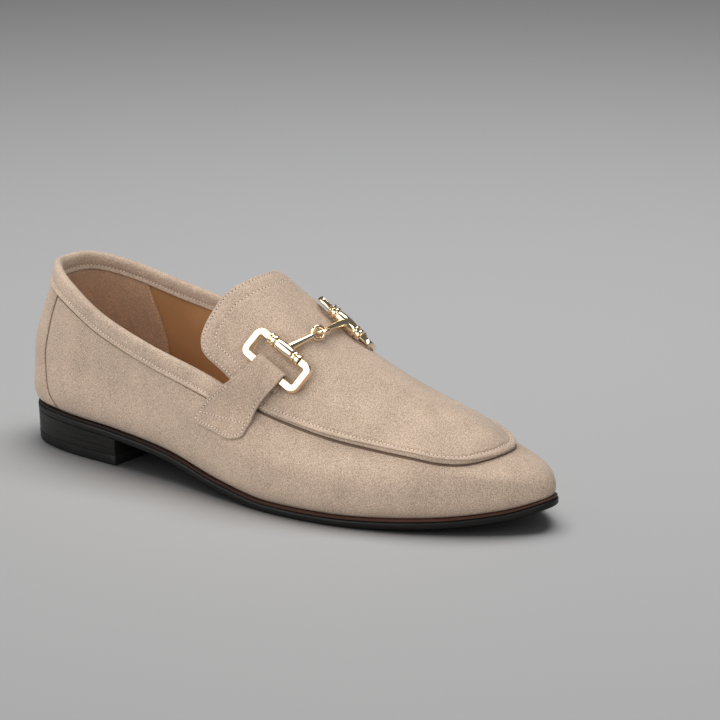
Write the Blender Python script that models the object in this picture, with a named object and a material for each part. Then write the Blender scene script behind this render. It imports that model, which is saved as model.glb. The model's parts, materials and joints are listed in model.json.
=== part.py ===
# Right buckle loafer: lasted suede upper, apron and tongue in one, snaffle bit, thin sole, stacked heel.
# Millimetres in the tables, metres in the scene. +X toe, -Y outer (lateral) side, +Y inner (medial), +Z up.
import math

import bmesh
import bpy
import numpy as np
from mathutils import Vector

MM = 0.001
GAP = 0.3
LENGTH = 300.0
STATIONS = 80
THROAT = 21

# Sole and heel sizes
SOLE_EDGE = 4.8
WELT_THICK = 1.2
WELT_WIDTH = 11.0
WELT_INSET = 0.5
HEEL_BREAST = 72.5
TOP_PIECE = 5.0
HEEL_TAPER = (0.4, 0.6)

# Upper sizes
WALL = 1.8
FEATHER_INSET = 2.4
LASTING_MARGIN = 9.0
INSOLE_INSET = 5.2
INSOLE_THICK = 2.5
BELLY_SHARE = 0.3
CROWN = 2.2
ACROSS = np.array((-1.0, -0.95, -0.87, -0.68, -0.45, -0.2, 0.0, 0.2, 0.45, 0.68, 0.87, 0.95, 1.0))

# Overlay sizes
APRON_THICK = 1.6
APRON_OVERHANG = 1.2
ROLL_RISE = 0.8
ROLL_START = 0.9
BINDING_DEPTH = 9.0
BINDING_INSIDE = 7.6
BINDING_THICK = 0.9
COUNTER_THICK = 0.7
COUNTER_COLUMNS = 17

# Sole outline: share of the length, lateral half width, medial half width
SOLE = (
    (0.05, 23.0, 22.5),
    (0.14, 31.0, 30.5),
    (0.24, 33.5, 32.0),
    (0.36, 36.5, 29.5),
    (0.48, 43.0, 31.0),
    (0.60, 47.5, 40.5),
    (0.70, 45.5, 47.5),
    (0.80, 37.5, 47.0),
    (0.90, 22.5, 36.0),
    (0.96, 9.5, 25.0),
)
SOLE_TIP_Y = 8.0

# Top of the sole edge: distance from the heel, height
TREAD = (
    (0.0, 20.3),
    (40.0, 19.7),
    (72.0, 18.2),
    (108.0, 14.4),
    (144.0, 8.0),
    (174.0, 4.8),
    (192.0, 4.8),
    (212.0, 4.8),
    (240.0, 6.0),
    (270.0, 8.6),
    (288.0, 12.0),
    (300.0, 16.0),
)

# Topline of the quarters: share, lateral half width, medial half width, lateral height, medial height
TOP_START = 14.0
TOP_END = 274.0
TOP_LEAD = 0.09
HEEL_HEIGHT = 91.0
COLLAR = (
    (0.03, 14.5, 14.5, 91.0, 91.3),
    (0.10, 26.0, 25.0, 86.0, 86.0),
    (0.20, 33.0, 30.5, 75.2, 78.5),
    (0.32, 35.0, 32.5, 65.2, 71.8),
    (0.46, 35.0, 33.5, 55.8, 61.4),
)

# Apron seam and ridge of the lid: share, lateral half width, medial half width, seam height,
# ridge distance, ridge height, flatness
SEAM = (
    (0.58, 35.5, 34.5, 45.9, 185.5, 70.6, 0.95),
    (0.66, 35.5, 36.0, 41.8, 201.0, 63.3, 0.80),
    (0.74, 34.0, 37.0, 38.5, 217.0, 56.5, 0.60),
    (0.82, 30.7, 36.5, 36.3, 233.5, 50.8, 0.40),
    (0.89, 27.0, 34.0, 34.6, 248.5, 46.3, 0.25),
    (0.94, 22.7, 29.2, 32.9, 259.5, 42.6, 0.10),
    (0.975, 15.4, 22.5, 32.3, 268.0, 38.6, 0.0),
    (0.993, 4.2, 15.8, 32.5, 272.4, 35.4, 0.0),
)
SEAM_TIP = (8.4, 32.9)

# Free tongue behind the throat: share, edge half width, edge height, ridge distance, ridge height,
# used share of the width, flatness
TONGUE = (
    (0.35, 33.0, 74.0, 136.0, 101.6, 0.28, 0.9),
    (0.38, 33.0, 70.0, 142.0, 99.3, 0.57, 0.9),
    (0.41, 33.0, 65.5, 147.5, 96.0, 0.82, 0.9),
    (0.48, 34.0, 56.0, 161.5, 86.6, 0.95, 0.95),
)
TONGUE_ROWS = (0.38, 0.383, 0.39, 0.403, 0.42, 0.445, 0.47, 0.50)
TONGUE_BOW = 0.022
TONGUE_TUCK = {"lateral": 0.05, "medial": 0.18}

# Wall between sole and topline: share, lateral bulge, medial bulge, height of the bulge,
# slope at the top in degrees
BULGE = (
    (0.08, 0.5, 0.5, 26.0, 74.0),
    (0.25, 0.5, 1.0, 25.0, 88.0),
    (0.42, 1.5, 3.0, 21.0, 78.0),
    (0.58, 1.5, 2.0, 17.0, 58.0),
    (0.75, 1.0, 1.0, 13.0, 48.0),
    (0.90, 0.6, 0.6, 9.0, 40.0),
)
BULGE_HEEL = (-1.8, 17.0, 95.0)
BULGE_TOE = (-1.6, 2.5, 12.0)

# Counter's front edge: share of the wall's height, angle round the heel in degrees
COUNTER = (
    (0.03, 37.0),
    (0.14, 34.4),
    (0.27, 32.6),
    (0.50, 33.7),
    (0.71, 34.6),
    (0.85, 35.6),
)

# Strap on the wall: height, centre angle, half width in degrees, stand off.
# Its low end slopes down to the toe, and the medial strap sits a few degrees further forward.
STRAP = (
    (33.0, 89.3, 2.6, 0.3),
    (33.5, 89.3, 4.3, 0.3),
    (35.0, 89.5, 5.8, 0.3),
    (37.5, 90.0, 6.4, 0.3),
    (40.5, 91.2, 6.1, 1.0),
    (44.5, 92.8, 5.4, 3.0),
)
STRAP_SLOPE = 1.2
STRAP_MEDIAL_LEAD = 1.5
STRAP_THICK = 1.2
STRAP_HALF = 8.5

# Snaffle bit: where the loops meet, and for each link the bar's middle, the way along the bar
# and the way to the barrel
BIT_CENTRE = np.array((181.7, -9.0, 79.4))
LINKS = {
    "lateral": ((169.3, -33.1, 64.2), (0.881, 0.0, -0.473), (0.43, 0.52, 0.73)),
    "medial": ((175.1, 22.0, 74.3), (0.78, 0.15, -0.61), (0.45, -0.81, 0.376)),
}
LINK_HALF = 15.8
LINK_REACH = 12.5
LINK_CORNER = 3.4
LINK_WIDE = 2.1
LINK_DEEP = 1.3
BARREL_HALF = 9.6
LOOP_RADIUS = 2.7
LOOP_WIRE = 0.8
LOOP_TILT = 45.0
LOOP_POINTS = 16
ROD_SIDES = 10

# Barrel profile: share of the half length, radius
BARREL = (
    (0.0, 3.1),
    (0.30, 3.0),
    (0.55, 2.6),
    (0.60, 3.2),
    (0.72, 3.2),
    (0.76, 2.5),
    (0.84, 2.5),
    (0.88, 3.0),
    (1.0, 2.8),
)

# Stem from the barrel to its loop: share of the way, radius
STEM = (
    (0.0, 2.3),
    (0.2, 2.0),
    (0.5, 1.5),
    (0.85, 1.05),
    (1.0, 1.1),
)


# Smooth curves through the tables

def column(rows, index):
    return np.array([row[index] for row in rows], float)


def smooth(knots, values, at):
    """Cubic curve through the values, held at both ends."""
    knots = np.asarray(knots, float)
    values = np.asarray(values, float)
    slopes = np.gradient(values, knots)
    at = np.clip(at, knots[0], knots[-1])
    i = np.clip(np.searchsorted(knots, at, side="right") - 1, 0, len(knots) - 2)
    step = knots[i + 1] - knots[i]
    t = (at - knots[i]) / step
    start = (2 * t**3 - 3 * t**2 + 1) * values[i] + (t**3 - 2 * t**2 + t) * step * slopes[i]
    end = (3 * t**2 - 2 * t**3) * values[i + 1] + (t**3 - t**2) * step * slopes[i + 1]
    return start + end


def angle_of(share):
    return np.arccos(1.0 - 2.0 * np.asarray(share, float))


def share_of(phi):
    return (1.0 - np.cos(phi)) / 2.0


def station_angle(station):
    return 2.0 * np.pi * station / STATIONS


def around(shares, heel, lateral, tip, medial, phi):
    """Closed curve round the shoe: heel at angle 0, lateral side, tip at pi, medial side back to the heel."""
    turn = 2.0 * np.pi
    side = angle_of(shares)
    knots = np.concatenate([[0.0], side, [np.pi], turn - side[::-1]])
    values = np.concatenate([[heel], lateral, [tip], medial[::-1]])
    knots = np.concatenate([knots - turn, knots, knots + turn])
    return smooth(knots, np.tile(values, 3), np.mod(phi, turn))


def tread(x):
    """Height of the top of the sole edge, held level where the forefoot is flat on the floor."""
    return np.maximum(smooth(column(TREAD, 0), column(TREAD, 1), x), SOLE_EDGE)


# Rings of the last

def sole_plan(phi):
    x = LENGTH * share_of(phi)
    y = around(column(SOLE, 0), 0.0, -column(SOLE, 1), SOLE_TIP_Y, column(SOLE, 2), phi)
    return np.stack([x, y], -1)


def sole_out(phi):
    """Unit vector pointing away from the sole, in plan."""
    small = 0.01
    along = sole_plan(phi + small) - sole_plan(phi - small)
    out = np.stack([along[..., 1], -along[..., 0]], -1)
    return out / np.linalg.norm(out, axis=-1, keepdims=True)


def sole_ring(phi, inset, rise):
    """Sole outline moved in by inset, at a height above the top of the sole edge."""
    plan = sole_plan(phi)
    moved = plan - sole_out(phi) * np.asarray(inset)[..., None]
    return np.concatenate([moved, (tread(moved[..., 0]) + rise)[..., None]], -1)


def lead(phi):
    """Angle on the topline that lies square across the wall from an angle on the sole."""
    return phi - TOP_LEAD * np.sin(2.0 * phi)


def top_ring(phi):
    """Topline and apron seam, one closed curve by its own angle."""
    shares = np.concatenate([column(COLLAR, 0), column(SEAM, 0)])
    lateral = np.concatenate([column(COLLAR, 1), column(SEAM, 1)])
    medial = np.concatenate([column(COLLAR, 2), column(SEAM, 2)])
    lateral_z = np.concatenate([column(COLLAR, 3), column(SEAM, 3)])
    medial_z = np.concatenate([column(COLLAR, 4), column(SEAM, 3)])
    x = TOP_START + (TOP_END - TOP_START) * share_of(phi)
    y = around(shares, 0.0, -lateral, SEAM_TIP[0], medial, phi)
    z = around(shares, HEEL_HEIGHT, lateral_z, SEAM_TIP[1], medial_z, phi)
    return np.stack([x, y, z], -1)


def bulge(index, phi):
    """Bulge (0), its height (1) or the slope at the top (2), round the shoe."""
    lateral = column(BULGE, (1, 3, 4)[index])
    medial = column(BULGE, (2, 3, 4)[index])
    return around(column(BULGE, 0), BULGE_HEEL[index], lateral, BULGE_TOE[index], medial, phi)


def bezier(points, t):
    a, b, c, d = points
    t = np.asarray(t)[..., None]
    return a * (1 - t)**3 + 3 * b * t * (1 - t)**2 + 3 * c * t**2 * (1 - t) + d * t**3


def wall(phi, s):
    """Outside of the upper: s is 0 at the feather edge, BELLY_SHARE at the bulge and 1 at the top."""
    phi, s = np.broadcast_arrays(np.asarray(phi, float), np.asarray(s, float))
    out = np.concatenate([sole_out(phi), np.zeros(phi.shape + (1,))], -1)
    up = np.array((0.0, 0.0, 1.0))
    foot = sole_ring(phi, np.full(phi.shape, FEATHER_INSET), GAP)
    belly = sole_ring(phi, -bulge(0, phi), bulge(1, phi))
    top = top_ring(lead(phi))
    low = (belly - foot)[..., 2:3]
    high = np.linalg.norm(top - belly, axis=-1, keepdims=True)
    slope = np.radians(bulge(2, phi))[..., None]
    lower = (foot, foot + (0.7 * out + 0.7 * up) * 0.35 * low, belly - up * 0.4 * low, belly)
    lean = out * np.cos(slope) - up * np.sin(slope)
    upper = (belly, belly + up * 0.36 * high, top + lean * 0.36 * high, top)
    below = bezier(lower, np.clip(s / BELLY_SHARE, 0.0, 1.0))
    above = bezier(upper, np.clip((s - BELLY_SHARE) / (1.0 - BELLY_SHARE), 0.0, 1.0))
    return np.where((s < BELLY_SHARE)[..., None], below, above)


def wall_out(phi, s):
    """Unit normal of the wall, pointing out of the shoe."""
    small = 0.002
    s = np.clip(s, small, 1.0 - small)
    along = wall(phi + small, s) - wall(phi - small, s)
    rise = wall(phi, s + small) - wall(phi, s - small)
    normal = np.cross(along, rise)
    return normal / np.linalg.norm(normal, axis=-1, keepdims=True)


def wall_at_height(phi, z):
    """Share s of the wall's upper part that lies at height z."""
    shares = np.linspace(BELLY_SHARE, 1.0, 41)
    found = []
    for one_phi, one_z in zip(np.ravel(phi), np.ravel(z)):
        heights = wall(np.full(41, one_phi), shares)[:, 2]
        found.append(np.interp(one_z, heights, shares))
    return np.reshape(found, np.shape(phi))


def lid(share, v):
    """Top of the upper from the tongue to the tip: v is -1 at the lateral edge and 1 at the medial edge."""
    share, v = np.broadcast_arrays(np.asarray(share, float), np.asarray(v, float))
    phi = angle_of(share)
    knots = angle_of(np.concatenate([column(TONGUE, 0), column(SEAM, 0), [1.0]]))
    ridge_x = smooth(knots, np.concatenate([column(TONGUE, 3), column(SEAM, 4), [TOP_END]]), phi)
    ridge_z = smooth(knots, np.concatenate([column(TONGUE, 4), column(SEAM, 5), [SEAM_TIP[1]]]), phi)
    lateral = edge_of_lid(phi, -1.0)
    medial = edge_of_lid(phi, 1.0)
    flat = smooth(knots, np.concatenate([column(TONGUE, 6), column(SEAM, 6), [0.0]]), phi)
    arch = (np.sqrt(1.0 + (CROWN * v)**2) - 1.0) / (math.sqrt(1.0 + CROWN**2) - 1.0)
    fall = arch + (np.abs(v)**3 - arch) * flat
    edge = np.where((v < 0)[..., None], lateral, medial)
    middle_y = 0.5 * (lateral[..., 1] + medial[..., 1])
    x = ridge_x + (edge[..., 0] - ridge_x) * fall
    y = middle_y + (edge[..., 1] - middle_y) * np.abs(v)
    z = ridge_z + (edge[..., 2] - ridge_z) * fall
    return np.stack([x, y, z], -1)


def edge_of_lid(phi, side):
    """Seam of the apron on one side, carried on along the tongue's edge behind the throat."""
    throat = lead(station_angle(THROAT))
    ring = top_ring(np.where(side < 0, phi, 2.0 * np.pi - phi))
    ahead = angle_of(SEAM[0][0])
    joins = top_ring(np.array((throat, ahead)) if side < 0 else 2.0 * np.pi - np.array((throat, ahead)))
    knots = np.concatenate([angle_of(column(TONGUE, 0)), (throat, ahead)])
    free_y = smooth(knots, np.concatenate([side * column(TONGUE, 1), joins[:, 1]]), phi)
    free_z = smooth(knots, np.concatenate([column(TONGUE, 2), joins[:, 2]]), phi)
    free = np.stack([ring[..., 0], free_y, free_z], -1)
    return np.where((phi >= throat - 1e-9)[..., None], ring, free)


# Meshes

def grid_faces(rows, columns, start=0, closed=False):
    """Triangles of a grid of points, split the same way everywhere so that stacked sheets keep their gap."""
    faces = []
    for i in range(rows if closed else rows - 1):
        after = (i + 1) % rows
        for j in range(columns - 1):
            a = start + i * columns + j
            b = start + after * columns + j
            faces.append((a, b, b + 1))
            faces.append((a, b + 1, a + 1))
    return faces


def weld(points, faces):
    """Joins points that lie together and drops the faces that close up."""
    seen = {}
    kept = []
    index = []
    for point in points:
        key = tuple(np.round(point, 3))
        if key not in seen:
            seen[key] = len(kept)
            kept.append(point)
        index.append(seen[key])
    joined = []
    for face in faces:
        ring = []
        for corner in face:
            if index[corner] not in ring:
                ring.append(index[corner])
        if len(ring) > 2:
            joined.append(tuple(ring))
    return np.array(kept), joined


def point_normals(points, faces):
    normals = np.zeros_like(points)
    for face in faces:
        corners = points[list(face)]
        around_face = np.cross(corners - corners[0], np.roll(corners, -1, axis=0) - corners[0]).sum(axis=0)
        normals[list(face)] += around_face
    length = np.linalg.norm(normals, axis=1, keepdims=True)
    return normals / np.maximum(length, 1e-9)


def thicken(points, faces, low, high):
    """Closed solid between two offsets of an open sheet."""
    normals = point_normals(points, faces)
    count = len(points)
    outer = points + normals * np.reshape(high, (-1, 1))
    inner = points + normals * np.reshape(low, (-1, 1))
    solid = list(faces)
    edges = set()
    for face in faces:
        solid.append(tuple(corner + count for corner in reversed(face)))
        for a, b in zip(face, face[1:] + face[:1]):
            edges.add((a, b))
    for a, b in edges:
        if (b, a) not in edges:
            solid.append((b, a, a + count, b + count))
    return np.concatenate([outer, inner]), solid


def plate(lower, upper):
    """Closed solid between two strips of lateral and medial points, from one end to the other."""
    rows = len(lower)
    points = np.concatenate([lower.reshape(-1, 3), upper.reshape(-1, 3)])
    half = rows * 2
    faces = [tuple(reversed(face)) for face in grid_faces(rows, 2)]
    faces += grid_faces(rows, 2, half)
    for i in range(rows - 1):
        a = i * 2
        faces.append((a, a + 2, a + 2 + half, a + half))
        faces.append((a + 3, a + 1, a + 1 + half, a + 3 + half))
    faces.append((1, 0, half, half + 1))
    last = half - 2
    faces.append((last, last + 1, last + 1 + half, last + half))
    return weld(points, faces)


def strip_rows(phis, inset, rise):
    """Lateral and medial points of the sole outline at each angle."""
    lateral = sole_ring(phis, np.full(len(phis), inset), rise)
    medial = sole_ring(2.0 * np.pi - phis, np.full(len(phis), inset), rise)
    return np.stack([lateral, medial], 1)


def swept(sections, closed):
    """Closed solid through a row of closed sections of equal count."""
    rows, count = sections.shape[:2]
    faces = []
    for i in range(rows if closed else rows - 1):
        after = (i + 1) % rows
        for j in range(count):
            k = (j + 1) % count
            faces.append((i * count + j, i * count + k, after * count + k, after * count + j))
    if not closed:
        faces.append(tuple(range(count - 1, -1, -1)))
        faces.append(tuple(range((rows - 1) * count, rows * count)))
    return sections.reshape(-1, 3), faces


def unit(vector):
    return vector / np.linalg.norm(vector)


def tube(path, radii, count, closed=False):
    """Round rod along a path; each section is square to the path."""
    path = np.asarray(path, float)
    if closed:
        along = np.roll(path, -1, axis=0) - np.roll(path, 1, axis=0)
    else:
        along = np.gradient(path, axis=0)
    side = unit(np.cross(along[0], (0.31, 0.82, 0.48)))
    sections = []
    for point, way, radius in zip(path, along, radii):
        way = unit(way)
        side = unit(side - way * np.dot(side, way))
        other = np.cross(way, side)
        turns = 2.0 * np.pi * np.arange(count) / count
        ring = np.cos(turns)[:, None] * side + np.sin(turns)[:, None] * other
        sections.append(point + ring * radius)
    return swept(np.array(sections), closed)


made = []


def make(name, solid, colour, rough, metal=0.0):
    points, faces = solid
    mesh = bpy.data.meshes.new(name)
    mesh.from_pydata((points * MM).tolist(), [], faces)
    body = bmesh.new()
    body.from_mesh(mesh)
    bmesh.ops.remove_doubles(body, verts=body.verts, dist=1e-7)
    bmesh.ops.recalc_face_normals(body, faces=body.faces)
    if body.calc_volume(signed=True) < 0.0:
        bmesh.ops.reverse_faces(body, faces=body.faces)
    body.to_mesh(mesh)
    body.free()
    thing = bpy.data.objects.new(name, mesh)
    bpy.context.scene.collection.objects.link(thing)
    material = bpy.data.materials.new(name)
    material.use_nodes = True
    surface = material.node_tree.nodes["Principled BSDF"]
    surface.inputs["Base Color"].default_value = (*colour, 1.0)
    surface.inputs["Roughness"].default_value = rough
    surface.inputs["Metallic"].default_value = metal
    mesh.materials.append(material)
    made.append(thing)
    return thing


def join(body, other):
    """Adds another closed solid to a body."""
    other.hide_render = True
    other.hide_viewport = True
    other.display_type = "WIRE"
    step = body.modifiers.new(other.name, "BOOLEAN")
    step.operation = "UNION"
    step.solver = "EXACT"
    step.object = other


# The pieces

SUEDE = (0.50, 0.40, 0.31)
BLACK = (0.012, 0.011, 0.011)
BROWN = (0.06, 0.035, 0.025)
TAN = (0.42, 0.24, 0.11)
GOLD = (0.83, 0.68, 0.47)


def build_sole():
    phis = np.linspace(0.0, np.pi, 49)
    outsole = plate(strip_rows(phis, 0.0, -SOLE_EDGE), strip_rows(phis, 0.0, -WELT_THICK - GAP))
    make("outsole", outsole, BLACK, 0.4)

    turn = station_angle(np.arange(STATIONS))
    outer = np.full(STATIONS, WELT_INSET)
    inner = outer + WELT_WIDTH
    corners = ((outer, -WELT_THICK), (inner, -WELT_THICK), (inner, 0.0), (outer, 0.0))
    welt = np.stack([sole_ring(turn, inset, rise) for inset, rise in corners], 1)
    make("welt", swept(welt, True), BROWN, 0.5)

    insole_low = 2.0 * GAP + WALL
    under = strip_rows(phis, INSOLE_INSET, insole_low)
    over = strip_rows(phis, INSOLE_INSET, insole_low + INSOLE_THICK)
    make("insole", plate(under, over), TAN, 0.6)


def build_heel():
    phis = np.linspace(0.0, angle_of(HEEL_BREAST / LENGTH), 17)
    seat = strip_rows(phis, HEEL_TAPER[0], -SOLE_EDGE - GAP)
    foot = strip_rows(phis, HEEL_TAPER[1], 0.0)
    seat[-1, :, 0] = HEEL_BREAST
    foot[-1, :, 0] = HEEL_BREAST
    levels = []
    for height in (0.0, TOP_PIECE, TOP_PIECE + GAP):
        level = foot.copy()
        level[..., 2] = height
        levels.append(level)
    make("heel_top_piece", plate(levels[0], levels[1]), BLACK, 0.7)
    make("heel_stack", plate(levels[2], seat), BLACK, 0.4)


def wall_shares(phi):
    """Heights of the upper's rows: the lower wall, the upper wall and the two rows under the binding."""
    bound = wall_down(phi, BINDING_DEPTH)
    half = wall_down(phi, 0.5 * BINDING_DEPTH)
    return np.concatenate([(0.0, 0.1, 0.2), np.linspace(BELLY_SHARE, bound, 4), (half, 1.0)])


def build_upper():
    turn = station_angle(np.arange(STATIONS))
    margin = sole_ring(turn, np.full(STATIONS, FEATHER_INSET + LASTING_MARGIN), GAP)
    side = np.array([wall(phi, wall_shares(phi)) for phi in turn])
    sheet = np.concatenate([margin[:, None], side], 1)
    columns = sheet.shape[1]
    faces = grid_faces(STATIONS, columns, 0, True)
    rows = np.arange(THROAT, STATIONS // 2 + 1)
    cover = lid(share_of(lead(station_angle(rows)))[:, None], ACROSS[None, :])
    faces += grid_faces(len(rows), len(ACROSS), STATIONS * columns)
    points, faces = weld(np.concatenate([sheet.reshape(-1, 3), cover.reshape(-1, 3)]), faces)
    make("upper", thicken(points, faces, -WALL, 0.0), SUEDE, 0.95)


def apron_reach(share):
    """Share of the lid's half width that the apron and tongue use."""
    knots = np.concatenate([column(TONGUE, 0), [share_of(lead(station_angle(THROAT)))]])
    return smooth(knots, np.concatenate([column(TONGUE, 5), [1.0]]), share)


def build_apron():
    rises = np.where(np.abs(ACROSS) > ROLL_START, ROLL_RISE, 0.0)
    rows = []
    heights = []
    spread = np.concatenate([[-1.04], ACROSS, [1.04]])
    tuck = np.where(spread < 0.0, TONGUE_TUCK["lateral"], TONGUE_TUCK["medial"])
    for share in TONGUE_ROWS:
        fade = (TONGUE_ROWS[-1] - share) / (TONGUE_ROWS[-1] - TONGUE_ROWS[0])
        used = spread * apron_reach(share) * (1.0 - tuck * (1.0 - fade)**3)
        rows.append(lid(share - TONGUE_BOW * fade * used**2, used))
        heights.append(np.zeros(len(spread)))
    for station in range(THROAT, STATIONS // 2 + 1):
        phi = station_angle(station)
        inner = lid(share_of(lead(phi)), ACROSS)
        ends = []
        for edge, angle in ((inner[0], phi), (inner[-1], 2.0 * np.pi - phi)):
            out = sole_out(np.array(angle))
            ends.append(edge + np.array((*(out * APRON_OVERHANG), -0.3 * APRON_OVERHANG)))
        rows.append(np.concatenate([[ends[0]], inner, [ends[1]]]))
        heights.append(np.concatenate([[-0.5], rises, [-0.5]]))
    points = np.array(rows)
    faces = grid_faces(points.shape[0], points.shape[1])
    flat = points.reshape(-1, 3)
    lift = {tuple(np.round(point, 3)): rise for point, rise in zip(flat, np.ravel(heights))}
    flat, faces = weld(flat, faces)
    rise = np.array([lift[tuple(np.round(point, 3))] for point in flat])
    low = np.where(rise == 0.0, GAP, 2.0 * GAP)
    make("apron", thicken(flat, faces, low, GAP + APRON_THICK + rise), SUEDE, 0.95)


def wall_down(phi, depth):
    """Share s of the wall that lies a depth below the top, along the wall."""
    shares = np.linspace(1.0, BELLY_SHARE, 61)
    line = wall(np.full(61, phi), shares)
    length = np.concatenate([[0.0], np.cumsum(np.linalg.norm(np.diff(line, axis=0), axis=1))])
    return np.interp(depth, length, shares)


def build_binding():
    thick = GAP + BINDING_THICK
    half = 0.5 * BINDING_DEPTH
    inside = BINDING_INSIDE
    # Depth below the edge and distance out from the wall, round the folded strip
    profile = (
        (BINDING_DEPTH, thick), (half, thick), (0.4, thick), (-0.9, 0.4), (-1.2, -0.5 * WALL),
        (-0.9, -WALL - 0.4), (0.4, -WALL - thick), (half, -WALL - thick), (inside, -WALL - thick),
        (inside, -WALL - GAP), (half, -WALL - GAP), (0.0, -WALL - GAP), (-GAP, -WALL),
        (-GAP, 0.0), (0.0, GAP), (half, GAP), (BINDING_DEPTH, GAP),
    )
    sections = []
    for station in range(1 - THROAT, THROAT):
        phi = station_angle(station)
        top = wall(phi, 1.0)
        up = unit(top - wall(phi, 0.97))
        section = []
        for depth, out in profile:
            s = wall_down(phi, max(depth, 0.0))
            point = wall(phi, s) + wall_out(phi, s) * out + up * max(-depth, 0.0)
            section.append(point)
        sections.append(section)
    make("collar_binding", swept(np.array(sections), False), SUEDE, 0.95)


def build_counter():
    columns = []
    for turn in np.linspace(-1.0, 1.0, COUNTER_COLUMNS):
        shares = wall_shares(turn * math.radians(COUNTER[-1][1]))[1:7]
        edge = np.radians(smooth(column(COUNTER, 0), column(COUNTER, 1), shares))
        line = wall(turn * edge, shares)
        line[-1] += unit(line[-2] - line[-1]) * 2.0 * GAP
        columns.append(line)
    points = np.array(columns)
    faces = grid_faces(points.shape[0], points.shape[1])
    solid = thicken(points.reshape(-1, 3), faces, GAP, GAP + COUNTER_THICK)
    make("counter", solid, SUEDE, 0.95)


def link_frame(side):
    """Bar's middle, direction along the bar, direction to the barrel and direction away from the shoe."""
    bar, along, across = (np.array(value) for value in LINKS["lateral" if side < 0 else "medial"])
    along = unit(along)
    across = unit(across - along * np.dot(across, along))
    away = np.cross(along, across) * -side
    return bar, along, across, away


def build_strap(name, side):
    bar, along, across, away = link_frame(side)
    lines = []
    ahead = 0.0 if side < 0 else STRAP_MEDIAL_LEAD
    for j in np.linspace(-1.0, 1.0, 6):
        line = []
        for height, centre, half, stand_off in STRAP:
            turn = math.radians(centre + ahead + half * j)
            phi = turn if side < 0 else 2.0 * np.pi - turn
            s = wall_at_height(np.array(phi), np.array(height - STRAP_SLOPE * j))
            line.append(wall(phi, s) + wall_out(phi, s) * (stand_off + 0.5 * STRAP_THICK))
        on_bar = bar + along * STRAP_HALF * j
        reach = LINK_WIDE + 2.5 * GAP + 0.5 * STRAP_THICK
        deep = LINK_DEEP + 2.0 * GAP + 0.5 * STRAP_THICK
        start = line[-1]
        rising = unit(line[-1] - line[-2])
        meet = on_bar + away * deep
        span = np.linalg.norm(meet - start)
        ease = (start, start + rising * 0.4 * span, meet - across * 0.35 * span, meet)
        line += list(bezier(ease, np.array((0.25, 0.5, 0.75))))
        for turn in np.radians((0.0, 45.0, 90.0, 135.0, 180.0)):
            line.append(on_bar + away * deep * math.cos(turn) + across * reach * math.sin(turn))
        for back in (3.0, 6.5):
            line.append(on_bar - away * deep - across * back)
        lines.append(line)
    points = np.array(lines)
    if side > 0:
        points = points[::-1]
    faces = grid_faces(points.shape[0], points.shape[1])
    half = 0.5 * STRAP_THICK
    make(name, thicken(points.reshape(-1, 3), faces, -half, half), SUEDE, 0.95)


def build_link(name, side):
    bar, along, across, away = link_frame(side)
    end = BARREL_HALF + GAP
    half = LINK_HALF - LINK_CORNER
    far = LINK_REACH - LINK_CORNER
    # Middle of each rounded corner along and across the bar, and the angle where its arc starts
    corners = ((-half, far, 90.0), (-half, LINK_CORNER, 180.0), (half, LINK_CORNER, 270.0), (half, far, 0.0))
    path = [(-end, LINK_REACH)]
    for middle_u, middle_v, first in corners:
        for turn in np.radians(first + np.array((0.0, 30.0, 60.0, 90.0))):
            path.append((middle_u + LINK_CORNER * math.cos(turn), middle_v + LINK_CORNER * math.sin(turn)))
    path.append((end, LINK_REACH))
    path = np.array(path)
    ways = np.gradient(path, axis=0)
    ways = ways / np.linalg.norm(ways, axis=1, keepdims=True)
    # Flat bar with bevelled edges: across the bar, away from the shoe
    bevel = 0.6
    wide = LINK_WIDE
    deep = LINK_DEEP
    outline = ((wide, bevel - deep), (wide, deep - bevel), (wide - bevel, deep), (bevel - wide, deep),
               (-wide, deep - bevel), (-wide, bevel - deep), (bevel - wide, -deep), (wide - bevel, -deep))
    sections = []
    for (u, v), way in zip(path, ways):
        point = bar + along * u + across * v
        side_way = along * way[1] - across * way[0]
        sections.append([point + side_way * a + away * b for a, b in outline])
    make(name, swept(np.array(sections), False), GOLD, 0.2, 1.0)


def build_bit(name, side):
    bar, along, across, away = link_frame(side)
    middle = bar + across * LINK_REACH
    shares = np.concatenate([-column(BARREL, 0)[:0:-1], column(BARREL, 0)])
    radii = np.concatenate([column(BARREL, 1)[:0:-1], column(BARREL, 1)])
    path = middle + along * (shares * BARREL_HALF)[:, None]
    body = make(name, tube(path, radii, ROD_SIDES), GOLD, 0.2, 1.0)
    inward = unit(BIT_CENTRE - middle)
    loop_middle = BIT_CENTRE - inward * 0.5 * LOOP_RADIUS
    end = loop_middle - inward * LOOP_RADIUS
    stem_path = middle + (end - middle) * column(STEM, 0)[:, None]
    stem = make(name + "_stem", tube(stem_path, column(STEM, 1), ROD_SIDES), GOLD, 0.2, 1.0)
    flat_way = unit(along - inward * np.dot(along, inward))
    tilt = math.radians(LOOP_TILT)
    other = flat_way * math.cos(tilt) + unit(np.cross(inward, flat_way)) * math.sin(tilt)
    turns = 2.0 * np.pi * np.arange(LOOP_POINTS) / LOOP_POINTS
    ring = loop_middle + LOOP_RADIUS * (np.cos(turns)[:, None] * inward + np.sin(turns)[:, None] * other)
    loop = make(name + "_loop", tube(ring, np.full(LOOP_POINTS, LOOP_WIRE), 8, True), GOLD, 0.2, 1.0)
    join(body, stem)
    join(body, loop)


def settle():
    """Puts the middle of the shoe's plan at the origin."""
    bpy.context.view_layer.update()
    corners = []
    for thing in made:
        if not thing.hide_render:
            corners += [vertex.co for vertex in thing.data.vertices]
    corners = np.array(corners)
    low = corners.min(axis=0)
    high = corners.max(axis=0)
    shift = np.array((0.5 * (low[0] + high[0]), 0.5 * (low[1] + high[1]), low[2]))
    for thing in made:
        for vertex in thing.data.vertices:
            vertex.co -= Vector(shift)


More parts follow.
